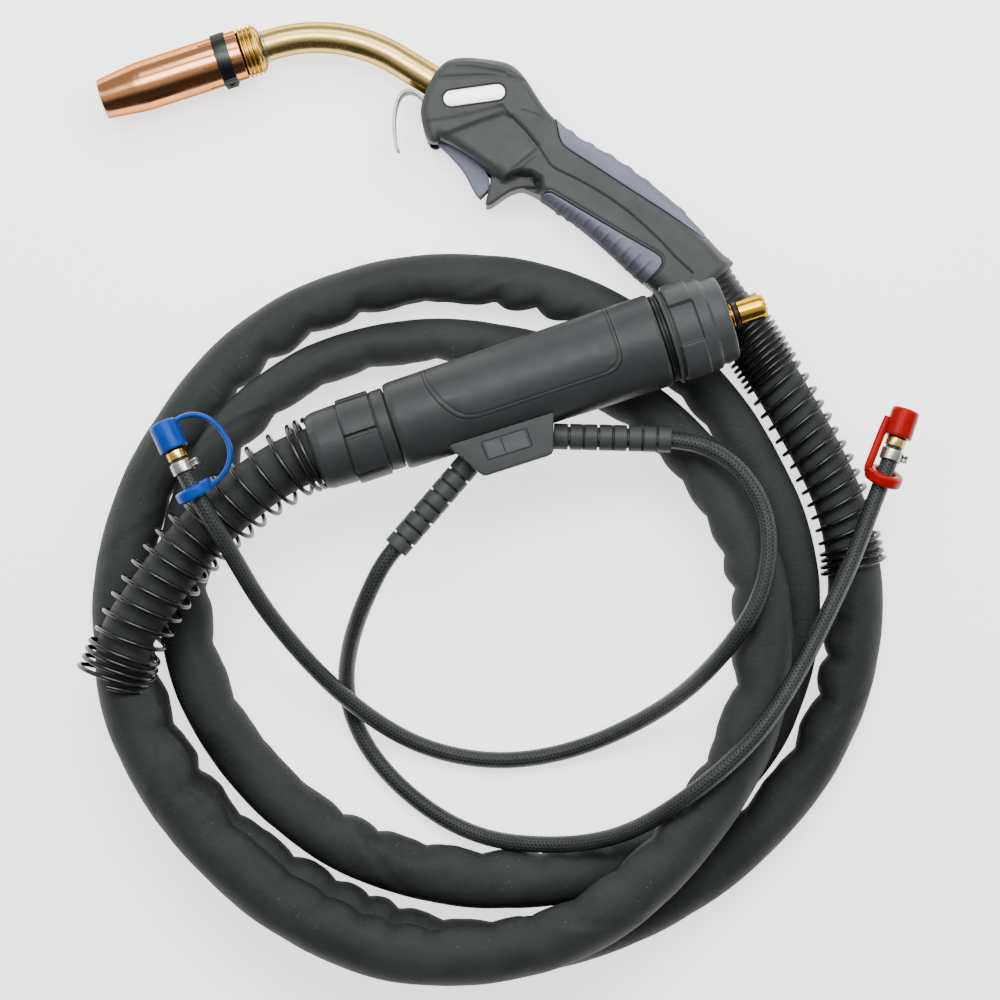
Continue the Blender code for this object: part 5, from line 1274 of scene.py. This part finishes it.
def handle():
    """Two moulded shells, soft pads, badge and screws."""
    body = carved("handle_body", [SHELL_CURVE, SPUR_CURVE], shell_height, 0.45)
    slot = slab("slot", TRIGGER_SLOT, HANDLE_MID - 8.3, HANDLE_MID + 8.3)
    body = boolean(body, slot)
    upper = split(body, HANDLE_MID + 0.12, True)
    lower = split(body, HANDLE_MID - 0.12, False)
    bpy.data.objects.remove(body, do_unlink=True)
    dress(upper, HANDLE_PLASTIC, "handle_shell_upper")
    dress(lower, HANDLE_PLASTIC, "handle_shell_lower")

    back = carved("soft_pad_back", [BACK_PAD], pad_height(BACK_EDGE, BACK_PAD_INNER), 0.5)
    front = carved("soft_pad_front", [FRONT_PAD], pad_height(FRONT_EDGE, FRONT_PAD_INNER, RIB_LINES), 0.42)
    for pad, node in ((back, "grip_pad_back"), (front, "grip_pad_front")):
        pad.data.shade_smooth()
        pad.data.set_sharp_from_angle(angle=math.radians(50))
        dress(pad, GRIP_RUBBER, node)

    badge = slab("blank_badge", stadium(BADGE_AT, 32.0, 8.4, BADGE_ANGLE), 36.6, 38.1, 0.45)
    dress(badge, FOIL, "badge_plate")

    for i, (x, y) in enumerate(SCREW_PLACES):
        head = lathe(f"screw_{i + 1}", [(0.0, 2.4), (2.7, 2.4), (2.7, 1.3), (1.9, 0.7), (0.0, 0.55)], (x, y, 0.0),
                     (0.0, 0.02, 1.0), 40)
        for turn in (0.6, 0.6 + 0.5 * math.pi):
            reach = (math.cos(turn), math.sin(turn), 0.0)
            head = boolean(head, block("recess", (3.2, 0.7, 1.6), (x, y, 0.9), reach))
        dress(head, BRIGHT_STEEL, f"handle_screw_{i + 1}")


def trigger_group():
    """The lever, bored for its cross pin."""
    curve = closed_curve(TRIGGER_OUTLINE, corner=(5, 6), spacing=0.5)
    lever = slab("trigger_lever", curve, HANDLE_MID - 6.0, HANDLE_MID + 6.0, 0.9, 4)
    bore = lathe("bore", [(0.0, -9.0), (1.8, -9.0), (1.8, 9.0), (0.0, 9.0)], (9.1, 18.3, HANDLE_MID),
                 (0.0, 0.02, 1.0), 32, fillet=0.0)
    lever = boolean(lever, bore)
    lever.data.shade_smooth()
    lever.data.set_sharp_from_angle(angle=math.radians(40))
    dress(lever, GRIP_RUBBER, "trigger", "trigger")


handle()
trigger_group()


# ---------------------------------------------------------------- nozzle, tip, neck and hook

def slit_angle(turn):
    return math.radians(turn - 90.0)


def gas_nozzle():
    """Copper cup with a soft taper, six spring slits and the steel band that squeezes them."""
    profile = [
        (11.4, 76.0), (12.9, 76.0), (12.95, 48.0), (12.9, 23.0), (12.65, 19.0), (12.2, 15.5), (10.5, 1.5),
        (10.15, 0.0), (8.6, 0.0), (8.6, 8.0), (11.4, 22.0),
    ]
    cup = lathe("nozzle_cup", profile, TIP_AT, NOZZLE_AXIS, 160, closed=True, fillet=0.55, sharp=50)
    middle = TIP_AT + NOZZLE_AXIS * 66.5
    for turn in (47.0, 107.0, 167.0):
        cup = boolean(cup, block("slit", (22.0, 0.9, 34.0), middle, NOZZLE_AXIS, slit_angle(turn)))
    cup.data.shade_smooth()
    cup.data.set_sharp_from_angle(angle=math.radians(40))
    dress(cup, COPPER, "gas_nozzle", "nozzle")

    side, up = directions(NOZZLE_AXIS)
    hoop = lathe("hoop", [(13.05, 62.8), (13.95, 62.8), (13.95, 70.2), (13.05, 70.2)], TIP_AT, NOZZLE_AXIS, 128,
                 closed=True, fillet=0.3)
    parts = [hoop]
    for turn, along, size in ((152.0, 66.5, (7.4, 3.0, 1.5)), (166.0, 64.4, (2.2, 4.4, 1.7)),
                              (166.0, 68.8, (2.2, 4.4, 1.7)), (178.0, 66.5, (6.2, 2.2, 2.0))):
        angle = math.radians(turn)
        out = math.cos(angle) * side + math.sin(angle) * up
        at = TIP_AT + NOZZLE_AXIS * along + out * 14.3
        parts.append(block("clip", size, at, NOZZLE_AXIS, slit_angle(turn), 0.35))
    band = joined("nozzle_spring_band", parts)
    dress(band, DARK_STEEL, "nozzle_clamp_band", "nozzle")


def neck_line():
    """Middle line of the neck: a short straight, an arc, and a straight into the handle."""
    start = TIP_AT + NOZZLE_AXIS * NECK_START
    bend = TIP_AT + NOZZLE_AXIS * (NECK_START + 2.0)
    centre = bend + NECK_BEND_RADIUS * np.array((NOZZLE_AXIS[1], -NOZZLE_AXIS[0], 0.0))
    places = [start]
    steps = 90
    for i in range(steps + 1):
        heading = NOZZLE_ANGLE + (NECK_END_ANGLE - NOZZLE_ANGLE) * i / steps
        places.append(centre + NECK_BEND_RADIUS * np.array((-math.sin(heading), math.cos(heading), 0.0)))
    axis = np.array((math.cos(NECK_END_ANGLE), math.sin(NECK_END_ANGLE), 0.0))
    last = places[-1]
    places += [last + axis * reach for reach in (1.0, 25.0, 49.0, 50.0)]
    return np.array(places)


def neck_and_head():
    """Brass head with thread ridges and collar, steel washer, lacquered neck tube and contact tip."""
    ridges = []
    for i in range(4):
        low = 76.5 + 2.2 * i
        ridges += [(11.75, low), (12.95, low + 0.8), (12.95, low + 1.25), (11.75, low + 2.0)]
    profile = [(0.0, 50.0), (11.0, 50.0), (11.0, 76.2)] + ridges + [
        (11.8, 85.4), (11.2, 86.3), (9.7, 87.1), (8.7, 87.4), (0.0, 87.4)]
    seat = lathe("brass_head", profile, TIP_AT, NOZZLE_AXIS, 144, fillet=0.28, sharp=48)
    dress(seat, BRASS, "nozzle_seat")
    washer = lathe("neck_washer", [(0.0, 87.7), (8.5, 87.7), (8.5, 88.8), (0.0, 88.8)], TIP_AT, NOZZLE_AXIS, 96)
    dress(washer, BRIGHT_STEEL, "seat_washer")
    line = neck_line()
    neck = sweep("neck_tube", line, np.full(len(line), 8.0), 72)
    dress(neck, GOLD, "swan_neck")
    tip = lathe("tip", [(0.0, 26.0), (4.0, 26.0), (4.0, 9.0), (2.7, 2.0), (0.7, 2.0), (0.7, 20.0), (0.0, 20.0)][::-1],
                TIP_AT, NOZZLE_AXIS, 64, fillet=0.2)
    dress(tip, COPPER_TIP, "contact_tip")

    diffuser = lathe("gas_spreader", [(0.0, 26.3), (5.5, 26.3), (7.2, 30.0), (7.2, 42.0), (8.5, 44.0), (8.5, 49.7),
                     (0.0, 49.7)], TIP_AT, NOZZLE_AXIS, 64)
    for turn in range(0, 360, 45):
        diffuser = boolean(diffuser, lathe("gas_hole", [(0.0, 3.0), (1.1, 3.0), (1.1, 10.0), (0.0, 10.0)],
                                           TIP_AT + NOZZLE_AXIS * 36.0,
                                           across_nozzle(math.radians(turn + 20.0)), 24, fillet=0.0))
    dress(diffuser, BRASS, "gas_diffuser")


def across_nozzle(angle):
    side, up = directions(NOZZLE_AXIS)
    return math.cos(angle) * side + math.sin(angle) * up


def hook_strip():
    """Bent steel strip, 12 mm wide, that hangs the torch up."""
    route = [(2.6, 36.2), (0.4, 38.9), (-2.6, 41.2), (-6.4, 42.0), (-9.8, 40.4), (-12.0, 36.6), (-13.3, 31.0),
             (-13.6, 25.0), (-13.2, 18.0), (-12.5, 13.6), (-11.4, 10.6)]
    line = smooth_curve([(x, y, 0.0) for x, y in route], 0.8)[:, :2]
    normal = unit(np.gradient(line, axis=0))[:, ::-1] * (-1.0, 1.0)
    outline = np.vstack((line + 0.8 * normal, (line - 0.8 * normal)[::-1]))
    strip = slab("hanging_strip", outline, HANDLE_MID - 6.0, HANDLE_MID + 6.0, 0.3, 2)
    strip = boolean(strip, lathe("hang_hole", [(0.0, -4.0), (1.7, -4.0), (1.7, 4.0), (0.0, 4.0)],
                                 (-12.6, 14.0, HANDLE_MID), (1.0, 0.3, 0.0), 32, fillet=0.0))
    dress(strip, HOOK_STEEL, "torch_hook")


def cable_sleeve():
    """Soft sleeve that grips the hose where it leaves the handle."""
    line = at_distance(HOSE, np.arange(5.0, 34.0, 0.3))[:, :3]
    along = travel(line)
    radii = 13.3 + 1.9 * (1.0 - smoothstep(4.0, 26.0, along))
    for ring in np.arange(5.0, 28.0, 3.4):
        radii = radii - 0.75 * np.exp(-((along - ring) / 0.6) ** 4)
    piece = sweep("hose_sleeve", line, radii, 64)
    dress(piece, BLACK_PLASTIC, "handle_cable_sleeve")
    return piece


gas_nozzle()
neck_and_head()
hook_strip()
SLEEVE = cable_sleeve()


# ---------------------------------------------------------------- plug

def plug_place(along, left=0.0, up=0.0):
    side, _ = directions(PLUG_AXIS)
    return PLUG_AT + PLUG_AXIS * along + side * left + UP * up


def raised_pads(centres, width, start, end, rise):
    """Lowers a turned band between pads that are centred at the given angles (0 level side, 90 up)."""
    centres = [math.radians(v) for v in centres]
    half = 0.5 * math.radians(width)

    def shape(angle, along, radius):
        away = np.min([np.abs(np.angle(np.exp(1j * (angle - c)))) for c in centres], axis=0)
        gap = smoothstep(half - 0.006, half + 0.020, away)
        band = smoothstep(start - 0.4, start + 0.2, along) * (1 - smoothstep(end - 0.2, end + 0.4, along))
        return -rise * gap * band
    return shape


def rear_collar():
    rows = [(15.0, -1.5), (17.9, -1.5), (19.1, -0.2), (19.9, 3.0), (20.3, 14.4), (20.1, 14.9), (20.1, 15.4),
            (21.6, 15.9)]
    rows += [(21.9, 17.0 + 1.0 * i) for i in range(15)]
    rows += [(21.9, 31.8), (21.5, 32.5), (20.3, 32.8), (20.3, 33.3), (20.7, 33.6), (20.9, 39.2), (20.4, 39.9),
             (18.2, 39.9), (18.2, 45.0), (15.0, 45.0)]
    collar = lathe("collar_nut", rows[::-1], PLUG_AT, PLUG_AXIS, 360, closed=True, fillet=0.25,
                   shape=raised_pads([86.5 + 30 + 60 * i for i in range(6)], 53.0, 15.6, 32.6, 1.75), sharp=32)
    dress(collar, PLUG_PLASTIC, "rear_collar_nut", "rear_collar_nut")
    return collar


def body_radius(along):
    return 22.4 + 1.4 * (along - 40.6) / (180.3 - 40.6)


def panel_outline(margin):
    """The cover panel seen from above, in the plug's own directions."""
    low, high = 60.7 + margin, 158.8 - margin
    edge = -9.6 + margin
    corner = [(high, edge + 9.0), (high - 0.7, edge + 5.4), (high - 2.8, edge + 2.5), (high - 6.0, edge + 0.7),
              (high - 9.5, edge)]
    heel = [(low + 21.0, edge), (low + 17.0, edge + 0.5), (low + 13.2, edge + 2.0), (low + 10.0, edge + 4.6),
            (low + 7.2, edge + 8.2), (low + 4.6, edge + 12.6), (low + 2.4, edge + 18.0), (low + 0.8, edge + 24.0)]
    shape = [(low, 40.0), (high, 40.0)] + corner + heel
    return [tuple(plug_place(along, left)[:2]) for along, left in shape[::-1]]


def plug_housing():
    """Two moulded shells, and the cover panel set flush into the upper one."""
    rows = [(18.6, 40.6), (21.2, 40.6), (21.9, 41.3), (body_radius(44.0), 43.4)]
    rows += [(body_radius(v), v) for v in np.arange(50.0, 178.0, 8.0)]
    rows += [(body_radius(178.4), 178.4), (body_radius(180.3) - 0.5, 179.9), (20.8, 180.3), (20.0, 180.0),
             (20.0, 48.0), (18.6, 46.0)]
    body = lathe("housing", rows[::-1], PLUG_AT, PLUG_AXIS, 168, closed=True, fillet=0.2)
    pocket = lathe("pocket", [(21.5, 60.5), (21.5, 159.0), (30.0, 159.0), (30.0, 60.5)], PLUG_AT, PLUG_AXIS, 168,
                   closed=True, fillet=0.0)
    opening = slab("opening", panel_outline(0.0), 62.8, 103.0)
    pocket = boolean(pocket, opening, "INTERSECT")
    body = boolean(body, pocket)
    for name, upper in (("upper", True), ("lower", False)):
        shell = split(body, PLUG_AT[2] + (0.08 if upper else -0.08), upper)
        dress(shell, PLUG_PLASTIC, f"plug_shell_{name}")
        PLUG_PIECES.append(shell)
    bpy.data.objects.remove(body, do_unlink=True)

    rows = [(21.7, 61.0), (body_radius(61.0) + 0.05, 61.0)]
    rows += [(body_radius(v) + 0.05, v) for v in np.arange(68.0, 156.0, 8.0)]
    rows += [(body_radius(158.6) + 0.05, 158.6), (21.7, 158.6)]
    panel = lathe("panel", rows[::-1], PLUG_AT, PLUG_AXIS, 168, closed=True, fillet=0.0)
    panel = boolean(panel, slab("panel_edge", panel_outline(0.28), 63.2, 103.0), "INTERSECT")
    ridge = lathe("ridge", [(22.0, 61.2), (30.0, 61.2), (30.0, 158.4), (22.0, 158.4)][::-1], PLUG_AT, PLUG_AXIS, 168,
                  closed=True, fillet=0.0)
    lowered = [(r + 0.05 - 0.35, v) for r, v in zip((body_radius(61.0), body_radius(158.6)), (61.0, 158.6))]
    bpy.data.objects.remove(ridge, do_unlink=True)
    groove = lathe("groove", [lowered[0], (30.0, 61.0), (30.0, 158.6), lowered[1]][::-1], PLUG_AT, PLUG_AXIS, 168,
                   closed=True, fillet=0.0)
    outer = slab("outer", panel_outline(1.55), 60.0, 104.0)
    inner = slab("inner", panel_outline(2.15), 59.0, 105.0)
    line = boolean(outer, inner)
    panel = boolean(panel, boolean(groove, line, "INTERSECT"))
    panel = softened(panel, 0.22, 2)
    dress(panel, PLUG_PLASTIC, "plug_cover_panel")
    PLUG_PIECES.append(panel)


def plug_front():
    """Seal ring, ring nut, socket core with its contact pins, and the brass gas pin."""
    seal = lathe("seal_ring", [(19.0, 180.6), (22.3, 180.6), (22.3, 181.9), (21.8, 182.2), (22.4, 182.5),
                 (22.4, 183.7), (19.0, 183.7)][::-1], PLUG_AT, PLUG_AXIS, 128, closed=True, fillet=0.25)
    dress(seal, BLACK_PLASTIC, "plug_seal_ring")
    rows = [(19.4, 184.0), (23.4, 184.0), (24.3, 184.6), (24.3, 185.6), (23.1, 186.1), (23.0, 186.9), (24.2, 187.3),
            (25.1, 187.8)]
    rows += [(25.4, 188.4 + 1.0 * i) for i in range(11)]
    rows += [(25.4, 199.0), (25.1, 199.6), (23.8, 200.0), (23.6, 204.6), (23.3, 206.1), (22.2, 206.7), (21.9, 207.4),
             (21.7, 213.6), (21.2, 215.1), (20.4, 215.6), (19.4, 215.6)]
    nut = lathe("ring_nut_moulding", rows[::-1], PLUG_AT, PLUG_AXIS, 420, closed=True, fillet=0.3,
                shape=raised_pads([31.0, 134.0, 226.0, 316.0], 52.0, 187.4, 199.8, 2.0), sharp=32)
    dress(nut, LIT_PLUG_PLASTIC, "ring_nut", "ring_nut")
    core = lathe("socket_core", [(6.6, 190.0), (6.6, 209.0), (13.0, 209.0), (13.6, 208.4), (13.6, 194.0), (18.6, 193.4),
                 (18.6, 176.3), (9.4, 176.3), (9.4, 190.0)], PLUG_AT, PLUG_AXIS, 120, closed=True, fillet=0.2)
    pins = []
    for i, side in enumerate((1.0, -1.0)):
        at = plug_place(0.0, side * 10.1)
        core = boolean(core, lathe("contact_bore", [(0.0, 200.0), (1.6, 200.0), (1.6, 220.0), (0.0, 220.0)], at,
                                   PLUG_AXIS, 40, fillet=0.0))
        pin = lathe(f"spring_contact_{i + 1}", [(0.0, 204.0), (1.25, 204.0), (1.25, 211.6), (0.7, 212.4), (0.0, 212.4)],
                    at, PLUG_AXIS, 40, fillet=0.3)
        dress(pin, BRASS, f"contact_pin_{i + 1}", f"contact_pin_{i + 1}")
        pins.append(pin)
    core.data.shade_smooth()
    core.data.set_sharp_from_angle(angle=math.radians(40))
    dress(core, BLACK_PLASTIC, "plug_insulator_core")
    gas_pin = lathe("gas_pin", [(0.0, 189.4), (6.2, 189.4), (6.2, 216.6), (5.7, 216.9), (5.7, 217.5), (6.2, 217.8),
                    (6.2, 218.4), (5.2, 218.8), (5.2, 221.2), (6.2, 221.6), (6.2, 233.2), (5.9, 234.6), (5.0, 235.6),
                    (3.4, 236.0), (1.9, 236.0), (1.9, 228.0), (0.0, 228.0)], PLUG_AT, PLUG_AXIS, 96, fillet=0.3)
    dress(gas_pin, PIN_BRASS, "central_pin")
    ring = lathe("pin_o_ring", [(5.4, 219.0), (6.3, 219.0), (6.3, 221.0), (5.4, 221.0)][::-1], PLUG_AT, PLUG_AXIS, 72,
                 closed=True, fillet=0.6)
    dress(ring, BLACK_PLASTIC, "pin_seal")
    PLUG_PIECES.extend([seal, nut, core, gas_pin, ring, *pins])


def water_block():
    """Outlet block saddled on the plug's side, with a recessed blank plate in two fields."""
    outline = [
        (16.3, -140.6), (16.3, -143.3), (17.6, -145.0), (31.0, -156.2), (32.6, -157.2), (34.6, -157.3),
        (65.4, -147.4), (67.1, -146.4), (67.7, -144.8), (67.7, -126.0), (66.6, -122.0), (17.5, -138.0),
    ]
    piece = slab("outlet_block", outline[::-1], 48.0, 76.6, 1.1, 4)
    saddle = lathe("saddle", [(0.0, 40.0), (22.7, 40.0), (24.1, 190.0), (0.0, 190.0)], PLUG_AT, PLUG_AXIS, 120,
                   fillet=0.0)
    piece = boolean(piece, saddle)
    plate = [(31.7, -141.0), (54.0, -134.1), (57.2, -142.8), (35.2, -149.8)]
    seat = closed_curve(np.array(plate), corner=(), spacing=0.8)
    middle = np.mean(np.array(plate), axis=0)

    def shrunk(share, corner=1.4):
        return rounded_corners([tuple(middle + (np.array(p) - middle) * share) for p in plate], corner)

    piece = boolean(piece, slab("label_pocket", shrunk(1.03), 75.9, 80.0))
    piece.data.shade_smooth()
    piece.data.set_sharp_from_angle(angle=math.radians(30))
    dress(piece, LIT_PLUG_PLASTIC, "water_block")
    label = slab("blank_label", shrunk(0.985, 1.1), 75.95, 76.62, 0.14, 2)
    rim = boolean(slab("rim_out", shrunk(0.94, 1.0), 76.5, 78.0), slab("rim_in", shrunk(0.905, 0.8), 76.0, 79.0))
    label = boolean(label, rim)
    start = np.array(plate[0]) + 0.42 * (np.array(plate[1]) - np.array(plate[0]))
    stop = np.array(plate[3]) + 0.42 * (np.array(plate[2]) - np.array(plate[3]))
    centre = 0.5 * (start + stop)
    label = boolean(label, block("divider", (7.6, 0.35, 1.0), (*centre, 76.8), (*(stop - start), 0.0)))
    label.data.shade_smooth()
    label.data.set_sharp_from_angle(angle=math.radians(30))
    dress(label, LABEL_PLASTIC, "label_plate")
    PLUG_PIECES.extend([piece, label])


def rounded_corners(points, radius, steps=5):
    """A polygon with its corners rounded."""
    made = []
    count = len(points)
    for i in range(count):
        before, here, after = (np.array(points[(i + k) % count]) for k in (-1, 0, 1))
        first = here + unit(before - here) * radius
        last = here + unit(after - here) * radius
        for t in np.linspace(0.0, 1.0, steps):
            made.append(tuple((1 - t) ** 2 * first + 2 * t * (1 - t) * here + t ** 2 * last))
    return made


PLUG_PIECES = [rear_collar()]
plug_housing()
plug_front()
water_block()


# ---------------------------------------------------------------- inner pieces carried over from the CAD

for material, nodes in (
        (BRASS, ("neck_clamp_block", "plug_brass_body")),
        (BRIGHT_STEEL, ("trigger_pin", "trigger_spring")),
        (BLACK_PLASTIC, ("handle_cable_bundle", "micro_switch")),
        (GRIP_RUBBER, ("switch_plunger",))):
    for node in nodes:
        for slot in bpy.data.objects[node].material_slots:
            slot.material = material


# ---------------------------------------------------------------- points in metres

def metres(points):
    return [tuple(float(v) for v in (np.asarray(p[:3]) + SHIFT) * MM) for p in points]
